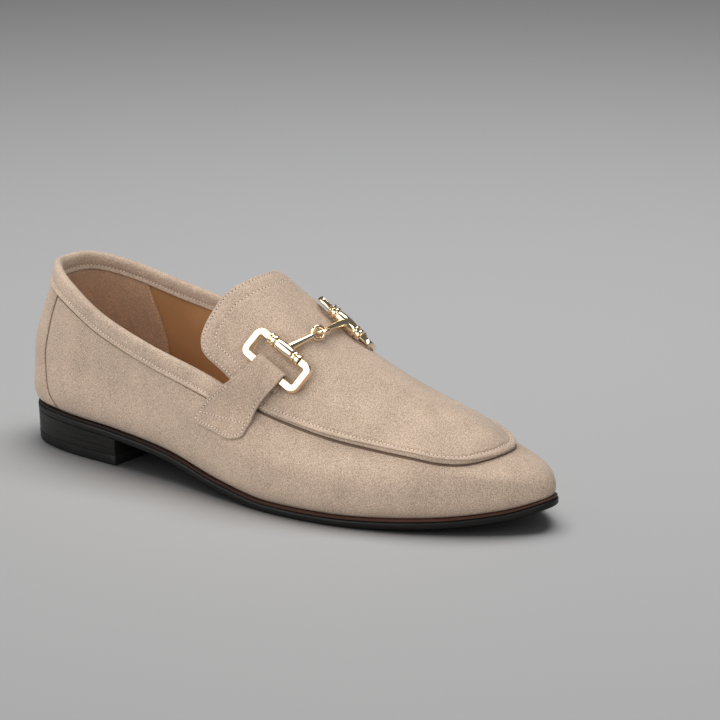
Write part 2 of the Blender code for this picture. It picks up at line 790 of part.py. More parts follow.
def main():
    for thing in list(bpy.data.objects):
        bpy.data.objects.remove(thing)
    build_sole()
    build_heel()
    build_upper()
    build_apron()
    build_binding()
    build_counter()
    for word, side in (("lateral", -1.0), ("medial", 1.0)):
        build_strap("strap_" + word, side)
        build_link("bit_ring_" + word, side)
        build_bit("bit_bar_" + word, side)
    settle()


main()
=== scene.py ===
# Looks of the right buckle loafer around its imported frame: suede, stitches, lining, sole and polished bit.
# Sizes in millimetres as on the last, meshes in metres. +X toe, -Y outer (lateral), +Y inner side, +Z up.
import json
import math

import bmesh
import bpy
import numpy as np
from mathutils import Matrix, Vector
from mathutils.kdtree import KDTree

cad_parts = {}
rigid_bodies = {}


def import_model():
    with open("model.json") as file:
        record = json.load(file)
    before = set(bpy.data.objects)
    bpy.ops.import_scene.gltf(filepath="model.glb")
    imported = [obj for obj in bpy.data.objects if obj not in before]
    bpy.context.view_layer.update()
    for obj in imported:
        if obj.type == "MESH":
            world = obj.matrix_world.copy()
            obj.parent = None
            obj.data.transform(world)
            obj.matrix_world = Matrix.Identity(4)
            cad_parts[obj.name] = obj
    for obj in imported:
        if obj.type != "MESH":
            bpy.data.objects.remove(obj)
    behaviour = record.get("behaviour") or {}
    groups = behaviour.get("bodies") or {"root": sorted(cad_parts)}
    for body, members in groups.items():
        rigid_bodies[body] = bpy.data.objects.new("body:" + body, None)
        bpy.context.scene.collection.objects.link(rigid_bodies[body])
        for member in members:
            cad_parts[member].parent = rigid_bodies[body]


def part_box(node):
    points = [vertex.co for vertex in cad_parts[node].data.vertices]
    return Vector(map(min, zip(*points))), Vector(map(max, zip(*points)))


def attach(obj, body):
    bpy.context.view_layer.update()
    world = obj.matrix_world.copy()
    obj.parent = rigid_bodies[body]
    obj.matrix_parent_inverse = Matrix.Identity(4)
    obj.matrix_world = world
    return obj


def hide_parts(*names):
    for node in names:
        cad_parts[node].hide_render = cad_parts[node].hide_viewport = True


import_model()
scene = bpy.context.scene
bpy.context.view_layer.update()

MM = 0.001
GAP = 0.3
LENGTH = 300.0
TURN = 2.0 * math.pi

# Sole and heel sizes
SOLE_EDGE = 4.8
WELT_INSET = 0.5
HEEL_BREAST = 72.5
TOP_PIECE = 5.0
HEEL_TAPER = (0.4, 0.6)
LIFTS = 3
LIFT_LINE = 0.05
LIFT_PROUD = 0.25
LIFT_CHAMFER = 0.3

# Upper sizes
WALL = 1.8
FEATHER_INSET = 2.4
LASTING_MARGIN = 9.0
INSOLE_INSET = 5.2
BELLY_SHARE = 0.3
FOOT_LEAN = 0.7
FOOT_HANDLE = 0.35
BELLY_HANDLE = 0.4
TOP_HANDLE = 0.36
CROWN = 2.2
THROAT_ANGLE = TURN * 21 / 80
BINDING_ANGLE = TURN * 20 / 80
BINDING_END = TURN * 20.8 / 80
APRON_LIFT = 1.9
APRON_OVERHANG = 1.2
BINDING_DEPTH = 9.0
BINDING_INSIDE = 7.6
COUNTER_THICK = 0.7

# Sole outline: share of the length, lateral half width, medial half width
SOLE = (
    (0.05, 23.0, 22.5),
    (0.14, 31.0, 30.5),
    (0.24, 33.5, 32.0),
    (0.36, 36.5, 29.5),
    (0.48, 43.0, 31.0),
    (0.60, 47.5, 40.5),
    (0.70, 45.5, 47.5),
    (0.80, 37.5, 47.0),
    (0.90, 22.5, 36.0),
    (0.96, 9.5, 25.0),
)
SOLE_TIP_Y = 8.0

# Top of the sole edge: distance from the heel, height
TREAD = (
    (0.0, 20.3),
    (40.0, 19.7),
    (72.0, 18.2),
    (108.0, 14.4),
    (144.0, 8.0),
    (174.0, 4.8),
    (192.0, 4.8),
    (212.0, 4.8),
    (240.0, 6.0),
    (270.0, 8.6),
    (288.0, 12.0),
    (300.0, 16.0),
)

# Topline of the quarters: share, lateral half width, medial half width, lateral height, medial height
TOP_START = 14.0
TOP_END = 274.0
TOP_LEAD = 0.09
HEEL_HEIGHT = 91.0
COLLAR = (
    (0.03, 14.5, 14.5, 91.0, 91.3),
    (0.10, 26.0, 25.0, 86.0, 86.0),
    (0.20, 33.0, 30.5, 75.2, 78.5),
    (0.32, 35.0, 32.5, 65.2, 71.8),
    (0.46, 35.0, 33.5, 55.8, 61.4),
)

# Apron seam and ridge of the lid: share, lateral half width, medial half width, seam height,
# ridge distance, ridge height, flatness
SEAM = (
    (0.58, 35.5, 34.5, 45.9, 185.5, 70.6, 0.95),
    (0.66, 35.5, 36.0, 41.8, 201.0, 63.3, 0.80),
    (0.74, 34.0, 37.0, 38.5, 217.0, 56.5, 0.60),
    (0.82, 30.7, 36.5, 36.3, 233.5, 50.8, 0.40),
    (0.89, 27.0, 34.0, 34.6, 248.5, 46.3, 0.25),
    (0.94, 22.7, 29.2, 32.9, 259.5, 42.6, 0.10),
    (0.975, 15.4, 22.5, 32.3, 268.0, 38.6, 0.0),
    (0.993, 4.2, 15.8, 32.5, 272.4, 35.4, 0.0),
)
SEAM_TIP = (8.4, 32.9)

# Free tongue behind the throat: share, edge half width, edge height, ridge distance, ridge height,
# used share of the width, flatness
TONGUE = (
    (0.35, 33.0, 74.0, 136.0, 101.6, 0.28, 0.9),
    (0.38, 33.0, 70.0, 142.0, 99.3, 0.57, 0.9),
    (0.41, 33.0, 65.5, 147.5, 96.0, 0.82, 0.9),
    (0.48, 34.0, 56.0, 161.5, 86.6, 0.95, 0.95),
)
TONGUE_TOP = 0.38
TONGUE_ROOT = 0.50
TONGUE_BOW = 0.022
TONGUE_TUCK = {"lateral": 0.05, "medial": 0.18}

# Wall between sole and topline: share, lateral bulge, medial bulge, height of the bulge,
# slope at the top in degrees
BULGE = (
    (0.08, 0.5, 0.5, 26.0, 74.0),
    (0.25, 0.5, 1.0, 25.0, 88.0),
    (0.42, 1.5, 3.0, 21.0, 78.0),
    (0.58, 1.5, 2.0, 17.0, 58.0),
    (0.75, 1.0, 1.0, 13.0, 48.0),
    (0.90, 0.6, 0.6, 9.0, 40.0),
)
BULGE_HEEL = (-1.8, 17.0, 95.0)
BULGE_TOE = (-1.6, 2.5, 12.0)

# Counter's front edge: share of the wall's height, angle round the heel in degrees
COUNTER = (
    (0.03, 37.0),
    (0.14, 34.4),
    (0.27, 32.6),
    (0.50, 33.7),
    (0.71, 34.6),
    (0.85, 35.6),
)

# Strap on the wall: height, centre angle, half width in degrees, stand off.
# Its low end is rounded and slopes down to the toe; the medial strap sits a little further forward.
STRAP = (
    (32.8, 89.3, 6.2, 0.3),
    (37.5, 90.0, 6.4, 0.3),
    (40.5, 91.2, 6.1, 1.0),
    (44.5, 92.8, 5.4, 3.0),
)
STRAP_END = 4.6
STRAP_SLOPE = 1.2
STRAP_MEDIAL_LEAD = 1.5
STRAP_THICK = 1.2
STRAP_HALF = 8.5

# Snaffle bit: where the loops meet, and for each link the bar's middle, the way along the bar
# and the way to the barrel
BIT_CENTRE = np.array((181.7, -9.0, 79.4))
LINKS = {
    "lateral": ((169.3, -33.1, 64.2), (0.881, 0.0, -0.473), (0.43, 0.52, 0.73)),
    "medial": ((175.1, 22.0, 74.3), (0.78, 0.15, -0.61), (0.45, -0.81, 0.376)),
}
LINK_HALF = 15.8
LINK_REACH = 12.5
LINK_CORNER = 2.6
LINK_WIDE = 2.1
LINK_DEEP = 1.3
LINK_SLOPE = 0.55
LINK_PROUD = 0.4
BARREL_HALF = 9.6
LOOP_RADIUS = 3.0
LOOP_WIRE = 0.95
LOOP_TILT = 45.0

# Barrel profile: share of the half length, radius
BARREL = (
    (0.0, 3.1),
    (0.20, 3.05),
    (0.40, 2.85),
    (0.55, 2.55),
    (0.58, 2.4),
    (0.60, 3.1),
    (0.63, 3.2),
    (0.70, 3.2),
    (0.73, 3.1),
    (0.75, 2.5),
    (0.84, 2.5),
    (0.86, 2.9),
    (0.89, 3.0),
    (0.97, 2.95),
    (1.0, 2.7),
)

# Stem from the barrel to its loop: share of the way, radius
STEM = (
    (0.0, 2.4),
    (0.1, 2.3),
    (0.2, 2.15),
    (0.5, 1.8),
    (0.85, 1.4),
    (1.0, 1.3),
)


# Smooth curves through the tables

def column(rows, index):
    return np.array([row[index] for row in rows], float)


def smooth(knots, values, at):
    """Cubic curve through the values, held at both ends."""
    knots = np.asarray(knots, float)
    values = np.asarray(values, float)
    slopes = np.gradient(values, knots)
    at = np.clip(at, knots[0], knots[-1])
    i = np.clip(np.searchsorted(knots, at, side="right") - 1, 0, len(knots) - 2)
    step = knots[i + 1] - knots[i]
    t = (at - knots[i]) / step
    start = (2 * t**3 - 3 * t**2 + 1) * values[i] + (t**3 - 2 * t**2 + t) * step * slopes[i]
    end = (3 * t**2 - 2 * t**3) * values[i + 1] + (t**3 - t**2) * step * slopes[i + 1]
    return start + end


def ease(low, high, at):
    """Rises smoothly from 0 at low to 1 at high."""
    t = np.clip((np.asarray(at, float) - low) / (high - low), 0.0, 1.0)
    return t * t * (3.0 - 2.0 * t)


def hump(middle, width, at):
    return np.exp(-((np.asarray(at, float) - middle) / width)**2)


def lengths(points):
    """Distance of each point from the start, along the line."""
    return np.concatenate([[0.0], np.cumsum(np.linalg.norm(np.diff(points, axis=0), axis=1))])


def angle_of(share):
    return np.arccos(1.0 - 2.0 * np.asarray(share, float))


def share_of(phi):
    return (1.0 - np.cos(phi)) / 2.0


def around(shares, heel, lateral, tip, medial, phi):
    """Closed curve round the shoe: heel at angle 0, lateral side, tip at pi, then the medial side back."""
    side = angle_of(shares)
    knots = np.concatenate([[0.0], side, [np.pi], TURN - side[::-1]])
    values = np.concatenate([[heel], lateral, [tip], medial[::-1]])
    knots = np.concatenate([knots - TURN, knots, knots + TURN])
    return smooth(knots, np.tile(values, 3), np.mod(phi, TURN))


def tread(x):
    """Height of the top of the sole edge, held level where the forefoot is flat on the floor."""
    return np.maximum(smooth(column(TREAD, 0), column(TREAD, 1), x), SOLE_EDGE)


# Rings of the last

def sole_plan(phi):
    x = LENGTH * share_of(phi)
    y = around(column(SOLE, 0), 0.0, -column(SOLE, 1), SOLE_TIP_Y, column(SOLE, 2), phi)
    return np.stack([x, y], -1)


def sole_out(phi):
    """Unit vector pointing away from the sole, in plan."""
    small = 0.01
    along = sole_plan(phi + small) - sole_plan(phi - small)
    out = np.stack([along[..., 1], -along[..., 0]], -1)
    return out / np.linalg.norm(out, axis=-1, keepdims=True)


def sole_ring(phi, inset, rise):
    """Sole outline moved in by inset, at a height above the top of the sole edge."""
    phi, inset, rise = np.broadcast_arrays(np.asarray(phi, float), inset, rise)
    moved = sole_plan(phi) - sole_out(phi) * inset[..., None]
    return np.concatenate([moved, (tread(moved[..., 0]) + rise)[..., None]], -1)


def lead(phi):
    """Angle on the topline that lies square across the wall from an angle on the sole."""
    return phi - TOP_LEAD * np.sin(2.0 * phi)


def topline(collar, seam):
    """A column of the collar's table followed by one of the seam's."""
    return np.concatenate([column(COLLAR, collar), column(SEAM, seam)])


def top_ring(phi):
    """Topline and apron seam, one closed curve by its own angle."""
    shares = topline(0, 0)
    x = TOP_START + (TOP_END - TOP_START) * share_of(phi)
    y = around(shares, 0.0, -topline(1, 1), SEAM_TIP[0], topline(2, 2), phi)
    z = around(shares, HEEL_HEIGHT, topline(3, 3), SEAM_TIP[1], topline(4, 3), phi)
    return np.stack([x, y, z], -1)


def bulge(index, phi):
    """Bulge (0), its height (1) or the slope at the top (2), round the shoe."""
    lateral = column(BULGE, (1, 3, 4)[index])
    medial = column(BULGE, (2, 3, 4)[index])
    return around(column(BULGE, 0), BULGE_HEEL[index], lateral, BULGE_TOE[index], medial, phi)


def bezier(points, t):
    a, b, c, d = points
    t = np.asarray(t)[..., None]
    return a * (1 - t)**3 + 3 * b * t * (1 - t)**2 + 3 * c * t**2 * (1 - t) + d * t**3


def wall(phi, s):
    """Outside of the upper: s is 0 at the feather edge, BELLY_SHARE at the bulge and 1 at the top."""
    phi, s = np.broadcast_arrays(np.asarray(phi, float), np.asarray(s, float))
    out = np.concatenate([sole_out(phi), np.zeros(phi.shape + (1,))], -1)
    up = np.array((0.0, 0.0, 1.0))
    foot = sole_ring(phi, FEATHER_INSET, GAP)
    belly = sole_ring(phi, -bulge(0, phi), bulge(1, phi))
    top = top_ring(lead(phi))
    low = (belly - foot)[..., 2:3]
    high = np.linalg.norm(top - belly, axis=-1, keepdims=True)
    slope = np.radians(bulge(2, phi))[..., None]
    rising = foot + (out + up) * FOOT_LEAN * FOOT_HANDLE * low
    lower = (foot, rising, belly - up * BELLY_HANDLE * low, belly)
    lean = out * np.cos(slope) - up * np.sin(slope)
    upper = (belly, belly + up * TOP_HANDLE * high, top + lean * TOP_HANDLE * high, top)
    below = bezier(lower, np.clip(s / BELLY_SHARE, 0.0, 1.0))
    above = bezier(upper, np.clip((s - BELLY_SHARE) / (1.0 - BELLY_SHARE), 0.0, 1.0))
    return np.where((s < BELLY_SHARE)[..., None], below, above)


def wall_out(phi, s):
    """Unit normal of the wall, pointing out of the shoe."""
    small = 0.002
    s = np.clip(s, small, 1.0 - small)
    along = wall(phi + small, s) - wall(phi - small, s)
    rise = wall(phi, s + small) - wall(phi, s - small)
    normal = np.cross(along, rise)
    return normal / np.linalg.norm(normal, axis=-1, keepdims=True)


def wall_lines(phi, count=81):
    """Shares from the top down to the bulge and the wall's points there, for each angle."""
    shares = np.linspace(1.0, BELLY_SHARE, count)
    return shares, wall(np.asarray(phi, float)[..., None], shares)


def wall_down(phi, depth):
    """Shares s of the wall that lie a depth below the top, along the wall."""
    phi, depth = np.broadcast_arrays(np.asarray(phi, float), np.asarray(depth, float))
    shares, lines = wall_lines(np.ravel(phi))
    found = []
    for line, one in zip(lines, np.ravel(depth)):
        found.append(np.interp(one, lengths(line), shares))
    return np.reshape(found, phi.shape)


def wall_at_height(phi, z):
    """Shares s of the wall's upper part that lie at height z."""
    phi, z = np.broadcast_arrays(np.asarray(phi, float), np.asarray(z, float))
    shares, lines = wall_lines(np.ravel(phi))
    found = [np.interp(one, line[::-1, 2], shares[::-1]) for line, one in zip(lines, np.ravel(z))]
    return np.reshape(found, phi.shape)


def edge_of_lid(phi, side):
    """Seam of the apron on one side, carried on along the tongue's edge behind the throat."""
    throat = lead(THROAT_ANGLE)
    ring = top_ring(phi if side < 0 else TURN - phi)
    ahead = angle_of(SEAM[0][0])
    joins = np.array((throat, ahead))
    joins = top_ring(joins if side < 0 else TURN - joins)
    knots = np.concatenate([angle_of(column(TONGUE, 0)), (throat, ahead)])
    free_y = smooth(knots, np.concatenate([side * column(TONGUE, 1), joins[:, 1]]), phi)
    free_z = smooth(knots, np.concatenate([column(TONGUE, 2), joins[:, 2]]), phi)
    free = np.stack([ring[..., 0], free_y, free_z], -1)
    return np.where((phi >= throat - 1e-9)[..., None], ring, free)


def ridge(tongue, seam, tip, phi):
    """Curve through a column of the tongue's table, one of the seam's and a value at the tip."""
    knots = angle_of(np.concatenate([column(TONGUE, 0), column(SEAM, 0), [1.0]]))
    return smooth(knots, np.concatenate([column(TONGUE, tongue), column(SEAM, seam), [tip]]), phi)


def lid(share, v):
    """Top of the upper from the tongue to the tip: v is -1 at the lateral edge and 1 at the medial edge."""
    share, v = np.broadcast_arrays(np.asarray(share, float), np.asarray(v, float))
    phi = angle_of(share)
    ridge_x = ridge(3, 4, TOP_END, phi)
    ridge_z = ridge(4, 5, SEAM_TIP[1], phi)
    flat = ridge(6, 6, 0.0, phi)
    lateral = edge_of_lid(phi, -1.0)
    medial = edge_of_lid(phi, 1.0)
    arch = (np.sqrt(1.0 + (CROWN * v)**2) - 1.0) / (math.sqrt(1.0 + CROWN**2) - 1.0)
    fall = arch + (np.abs(v)**3 - arch) * flat
    edge = np.where((v < 0)[..., None], lateral, medial)
    middle_y = 0.5 * (lateral[..., 1] + medial[..., 1])
    x = ridge_x + (edge[..., 0] - ridge_x) * fall
    y = middle_y + (edge[..., 1] - middle_y) * np.abs(v)
    z = ridge_z + (edge[..., 2] - ridge_z) * fall
    return np.stack([x, y, z], -1)


def apron_reach(share):
    """Share of the lid's half width that the apron and tongue use."""
    knots = np.concatenate([column(TONGUE, 0), [share_of(lead(THROAT_ANGLE))]])
    return smooth(knots, np.concatenate([column(TONGUE, 5), [1.0]]), share)


# The frame's place of the last's own origin
outsole_low = np.array(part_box("outsole")[0]) / MM
widest = sole_plan(np.linspace(0.0, np.pi, 97))[:, 1].min()
SHIFT = np.array((outsole_low[0], outsole_low[1] - widest, 0.0))


# Mesh helpers

def unit(vector):
    return vector / np.linalg.norm(vector, axis=-1, keepdims=True)


def circle(count, first, second):
    """Points round a circle or an oval spanned by two vectors."""
    turns = TURN * np.arange(count)[:, None] / count
    return np.cos(turns) * first + np.sin(turns) * second


def refined(line, steps):
    """Points of a line with every stretch cut into even steps."""
    parts = np.arange(steps)[None, :, None] / steps
    fine = line[:-1, None] + (line[1:] - line[:-1])[:, None] * parts
    return fine.reshape(-1, line.shape[-1])


def tree_of(points):
    """Search tree that finds the nearest of some points."""
    tree = KDTree(len(points))
    for index, point in enumerate(points):
        tree.insert(point, index)
    tree.balance()
    return tree


def rim_share(distance, rim):
    """Quarter round: 0 on the outline, 1 from a rim's width inside it."""
    return np.sqrt(1.0 - (1.0 - np.clip(distance / rim, 0.0, 1.0))**2)


def grid_faces(rows, columns, start=0, closed=False, looped=False):
    """Quads of a grid of points; closed joins the last row to the first, looped the last column."""
    i = np.arange(rows if closed else rows - 1)[:, None]
    j = np.arange(columns if looped else columns - 1)[None, :]
    here = start + i * columns
    after = start + ((i + 1) % rows) * columns
    beside = (j + 1) % columns
    quads = np.stack([here + j, after + j, after + beside, here + beside], -1)
    return [tuple(quad) for quad in quads.reshape(-1, 4).tolist()]


def turned(faces):
    return [tuple(reversed(face)) for face in faces]


def weld(points, faces):
    """Joins points that lie together and drops the faces that close up."""
    seen = {}
    kept = []
    index = []
    for point in points:
        key = tuple(np.round(point, 3).tolist())
        if key not in seen:
            seen[key] = len(kept)
            kept.append(point)
        index.append(seen[key])
    joined = []
    for face in faces:
        ring = list(dict.fromkeys(index[corner] for corner in face))
        if len(ring) > 2:
            joined.append(tuple(ring))
    return np.array(kept), joined, np.array(index)


def point_normals(points, faces):
    fans = [(face[0], face[k], face[k + 1]) for face in faces for k in range(1, len(face) - 1)]
    triangles = np.array(fans)
    corners = points[triangles]
    normal = np.cross(corners[:, 1] - corners[:, 0], corners[:, 2] - corners[:, 0])
    normals = np.zeros_like(points)
    for k in range(3):
        np.add.at(normals, triangles[:, k], normal)
    return normals / np.maximum(np.linalg.norm(normals, axis=1, keepdims=True), 1e-12)


def thicken(points, faces, low, high):
    """Closed solid between two offsets of an open sheet; the outer faces come first."""
    normals = point_normals(points, faces)
    count = len(points)
    outer = points + normals * np.reshape(high, (-1, 1))
    inner = points + normals * np.reshape(low, (-1, 1))
    solid = list(faces)
    solid += [tuple(corner + count for corner in face) for face in turned(faces)]
    edges = set()
    for face in faces:
        edges.update(zip(face, face[1:] + face[:1]))
    for a, b in sorted(edges):
        if (b, a) not in edges:
            solid.append((b, a, a + count, b + count))
    return np.concatenate([outer, inner]), solid


def lined(solid, faces):
    """Material places of a thickened sheet: 1 on its inner side, 0 elsewhere."""
    picks = np.zeros(len(solid[1]), int)
    picks[len(faces):2 * len(faces)] = 1
    return picks


def swept(sections, closed=False):
    """Closed solid through a row of closed sections of equal count."""
    rows, count = sections.shape[:2]
    faces = grid_faces(rows, count, 0, closed, True)
    if not closed:
        faces.append(tuple(range(count - 1, -1, -1)))
        faces.append(tuple(range((rows - 1) * count, rows * count)))
    return sections.reshape(-1, 3), faces


def tube(path, radii, count, closed=False):
    """Round rod along a path; each section is square to the path."""
    if closed:
        along = np.roll(path, -1, axis=0) - np.roll(path, 1, axis=0)
    else:
        along = np.gradient(path, axis=0)
    not_along = (0.31, 0.82, 0.48)
    side = unit(np.cross(along[0], not_along))
    sections = []
    for point, way, radius in zip(path, unit(along), radii):
        side = unit(side - way * np.dot(side, way))
        sections.append(point + circle(count, side, np.cross(way, side)) * radius)
    return swept(np.array(sections), closed)


def make(name, solid, materials, nodes=(), picks=None, sharp=None):
    """Mesh piece on the shoe's body; picks gives each face's material where there are several."""
    points, faces = solid
    mesh = bpy.data.meshes.new(name)
    mesh.from_pydata(((points + SHIFT) * MM).tolist(), [], faces)
    for material in materials:
        mesh.materials.append(material)
    if picks is not None:
        mesh.polygons.foreach_set("material_index", np.asarray(picks, np.int32))
    body = bmesh.new()
    body.from_mesh(mesh)
    bmesh.ops.remove_doubles(body, verts=body.verts, dist=1e-7)
    bmesh.ops.recalc_face_normals(body, faces=body.faces)
    if body.calc_volume(signed=True) < 0.0:
        bmesh.ops.reverse_faces(body, faces=body.faces)
    body.to_mesh(mesh)
    body.free()
    mesh.shade_smooth()
    if sharp:
        mesh.set_sharp_from_angle(angle=math.radians(sharp))
    thing = bpy.data.objects.new(name, mesh)
    scene.collection.objects.link(thing)
    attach(thing, "root")
    for node in nodes:
        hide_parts(node)
    return thing


# Materials

class Shader:
    """A Principled material and short ways to add the nodes that vary it."""

    def __init__(self, name, colour, rough, **sockets):
        self.material = bpy.data.materials.new(name)
        self.material.use_nodes = True
        self.tree = self.material.node_tree
        self.surface = self.tree.nodes["Principled BSDF"]
        self.colour = colour
        self.feed(self.surface, Base_Color=(*colour, 1.0), Roughness=rough, **sockets)
        self.place = self.node("ShaderNodeTexCoord").outputs["Object"]

    def put(self, socket, value):
        """Sets a socket to a value, or links it to another node's output."""
        if isinstance(value, bpy.types.NodeSocket):
            self.tree.links.new(value, socket)
        else:
            socket.default_value = value

    def feed(self, node, **sockets):
        for name, value in sockets.items():
            self.put(node.inputs[name.replace("_", " ")], value)

    def node(self, kind, operation=None, **sockets):
        made = self.tree.nodes.new(kind)
        if operation:
            made.operation = operation
        self.feed(made, **sockets)
        return made

    def noise(self, size, detail=2.0, stretch=(1.0, 1.0, 1.0)):
        """Noise whose features are about size millimetres across."""
        scaled = self.node("ShaderNodeMapping", Vector=self.place, Scale=stretch).outputs["Vector"]
        node = self.node("ShaderNodeTexNoise", Vector=scaled, Scale=1.0 / (size * MM), Detail=detail)
        return node.outputs["Fac"]

    def math(self, operation, *values):
        node = self.node("ShaderNodeMath", operation)
        for socket, value in zip(node.inputs, values):
            self.put(socket, value)
        return node.outputs[0]

    def map_range(self, source, from_low, from_high, low, high):
        node = self.node("ShaderNodeMapRange", Value=source, To_Min=low, To_Max=high)
        self.feed(node, From_Min=from_low, From_Max=from_high)
        return node.outputs["Result"]

    def spread(self, source, low, high):
        """Maps a noise's usual span onto low to high."""
        return self.map_range(source, 0.3, 0.7, low, high)

    def along_shoe(self, start, end, least):
        """Grows from least to 1 between two places along the shoe, in millimetres of the frame."""
        parts = self.node("ShaderNodeSeparateXYZ", Vector=self.place)
        return self.map_range(parts.outputs["X"], start * MM, end * MM, least, 1.0)

    def tint(self, factor):
        """Base colour scaled by a varying factor."""
        node = self.node("ShaderNodeVectorMath", "SCALE", Vector=self.colour, Scale=factor)
        self.feed(self.surface, Base_Color=node.outputs["Vector"])

    def rough(self, source, low, high):
        """Roughness that varies with a noise."""
        self.feed(self.surface, Roughness=self.spread(source, low, high))

    def bump(self, height, depth):
        """Bump of a height field, depth in millimetres."""
        node = self.node("ShaderNodeBump", Strength=1.0, Distance=depth * MM, Height=height)
        self.feed(self.surface, Normal=node.outputs["Normal"])


def suede(name, colour, speckle=0.38, patch=0.09):
    """Brushed suede: fibre speckle, brushed patches, soft sheen and a short nap."""
    shader = Shader(name, colour, 0.95, Specular_IOR_Level=0.15)
    shader.feed(shader.surface, Sheen_Weight=0.25, Sheen_Roughness=0.45, Sheen_Tint=(1.0, 0.93, 0.85, 1.0))
    speckled = shader.spread(shader.noise(0.45, 1.0), 1.0 - speckle, 1.0 + speckle)
    brushed = shader.spread(shader.noise(14.0, 4.0, (1.0, 1.0, 0.6)), -patch, patch)
    shader.tint(shader.math("ADD", speckled, brushed))
    tufts = shader.math("MULTIPLY", shader.noise(3.0), 0.8)
    shader.bump(shader.math("ADD", shader.noise(0.45), tufts), 0.16)
    return shader.material


def smooth_leather(name, colour, shine):
    """Smooth lining leather with a fine pebble and faint clouding."""
    shader = Shader(name, colour, shine, Specular_IOR_Level=0.4)
    shader.tint(shader.spread(shader.noise(22.0, 3.0), 0.88, 1.10))
    shader.rough(shader.noise(9.0), shine - 0.06, shine + 0.08)
    shader.bump(shader.noise(0.8), 0.05)
    return shader.material


def sole_edge(name, colour, shine, line, grows=None):
    """Dyed and waxed edge: fine lines along the layers, uneven wax, a colour that may grow to the toe."""
    shader = Shader(name, colour, shine, Specular_IOR_Level=0.22)
    layers = shader.noise(line, 2.0, (0.03, 0.03, 1.0))
    factor = shader.spread(layers, 0.75, 1.3)
    if grows:
        factor = shader.math("MULTIPLY", factor, shader.along_shoe(*grows))
    shader.tint(factor)
    shader.rough(shader.noise(16.0, 3.0), shine - 0.08, shine + 0.12)
    shader.bump(layers, 0.02)
    return shader.material


def rubber(name, colour):
    """Dull rubber with a fine grain and scuffed patches."""
    shader = Shader(name, colour, 0.62, Specular_IOR_Level=0.22)
    shader.tint(shader.spread(shader.noise(8.0, 3.0), 0.8, 1.3))
    shader.bump(shader.noise(0.5), 0.06)
    return shader.material


def gold(name, colour):
    """Polished metal with uneven gloss and slight waves."""
    shader = Shader(name, colour, 0.08, Metallic=1.0)
    shader.rough(shader.noise(5.0, 3.0), 0.05, 0.13)
    shader.bump(shader.noise(6.0), 0.02)
    return shader.material


def thread(name, colour):
    """Twisted thread, lighter and darker by turns."""
    shader = Shader(name, colour, 0.7, Sheen_Weight=0.2)
    shader.tint(shader.spread(shader.noise(0.6), 0.8, 1.2))
    shader.bump(shader.noise(0.25, 1.0, (1.0, 1.0, 3.0)), 0.05)
    return shader.material


SUEDE = suede("suede", (0.490, 0.372, 0.283))
STRAP_SUEDE = suede("strap_suede", (0.465, 0.350, 0.264))
GRIP_SUEDE = suede("heel_grip_suede", (0.50, 0.325, 0.215), 0.30, 0.14)
LINING = smooth_leather("lining_leather", (0.44, 0.227, 0.100), 0.46)
SOCK = smooth_leather("sock_leather", (0.47, 0.25, 0.105), 0.42)
SOLE_BLACK = sole_edge("sole_black", (0.008, 0.0075, 0.007), 0.40, 1.1)
HEEL_BLACK = sole_edge("heel_black", (0.008, 0.0075, 0.007), 0.38, 0.9)
WELT_BROWN = sole_edge("welt_brown", (0.062, 0.026, 0.016), 0.45, 0.5, (-80.0, 90.0, 0.18))
TREAD_BLACK = rubber("tread_black", (0.014, 0.0135, 0.013))
TOP_RUBBER = rubber("top_piece_rubber", (0.009, 0.009, 0.009))
GOLD = gold("polished_gold", (0.93, 0.76, 0.53))
THREAD = thread("beige_thread", (0.72, 0.595, 0.485))
GRIP_THREAD = thread("tan_thread", (0.78, 0.44, 0.18))
# Dark brown suede for thin ribbons that paint the shadow under the binding's lip and the apron's edge
PAINTED_SEAM_SHADE = suede("painted_seam_shade", (0.16, 0.105, 0.072), 0.2, 0.1)
# Near-black material for the discs that paint the shade inside the needle holes
NEEDLE_HOLE_SHADE = thread("painted_needle_hole_shade", (0.09, 0.062, 0.046))


# Stitch rows

STITCH_PITCH = 1.9
STITCH_LENGTH = 1.5
STITCH_WIDTH = 0.66
STITCH_RISE = 0.36
STITCH_DIP = 0.6
STITCH_SINK = 0.05
STITCH_SIDES = 8
HOLE_RADIUS = 0.26
HOLE_PROUD = 0.07
HOLE_DEPTH = 0.5
HOLE_SIDES = 6

# One stitch: place along its half length, share of its width
STITCH = (
    (-1.0, 0.05),
    (-0.8, 0.62),
    (-0.35, 1.0),
    (0.35, 1.0),
    (0.8, 0.62),
    (1.0, 0.05),
)

# Places of the three materials on the stitches' mesh, and that mesh as it grows
BEIGE, TAN, DARK = range(3)
stitches = {"points": [], "faces": [], "picks": []}


def add_bead(solid, pick):
    points, faces = solid
    start = len(stitches["points"])
    stitches["points"] += list(points)
    stitches["faces"] += [tuple(corner + start for corner in face) for face in faces]
    stitches["picks"] += [pick] * len(faces)


def resample(points, normals, step):
    """Points and normals at even steps along a line."""
    length = lengths(points)
    at = np.arange(0.5 * step, length[-1], step)
    even = np.stack([np.interp(at, length, points[:, k]) for k in range(3)], -1)
    facing = np.stack([np.interp(at, length, normals[:, k]) for k in range(3)], -1)
    return even, unit(facing)


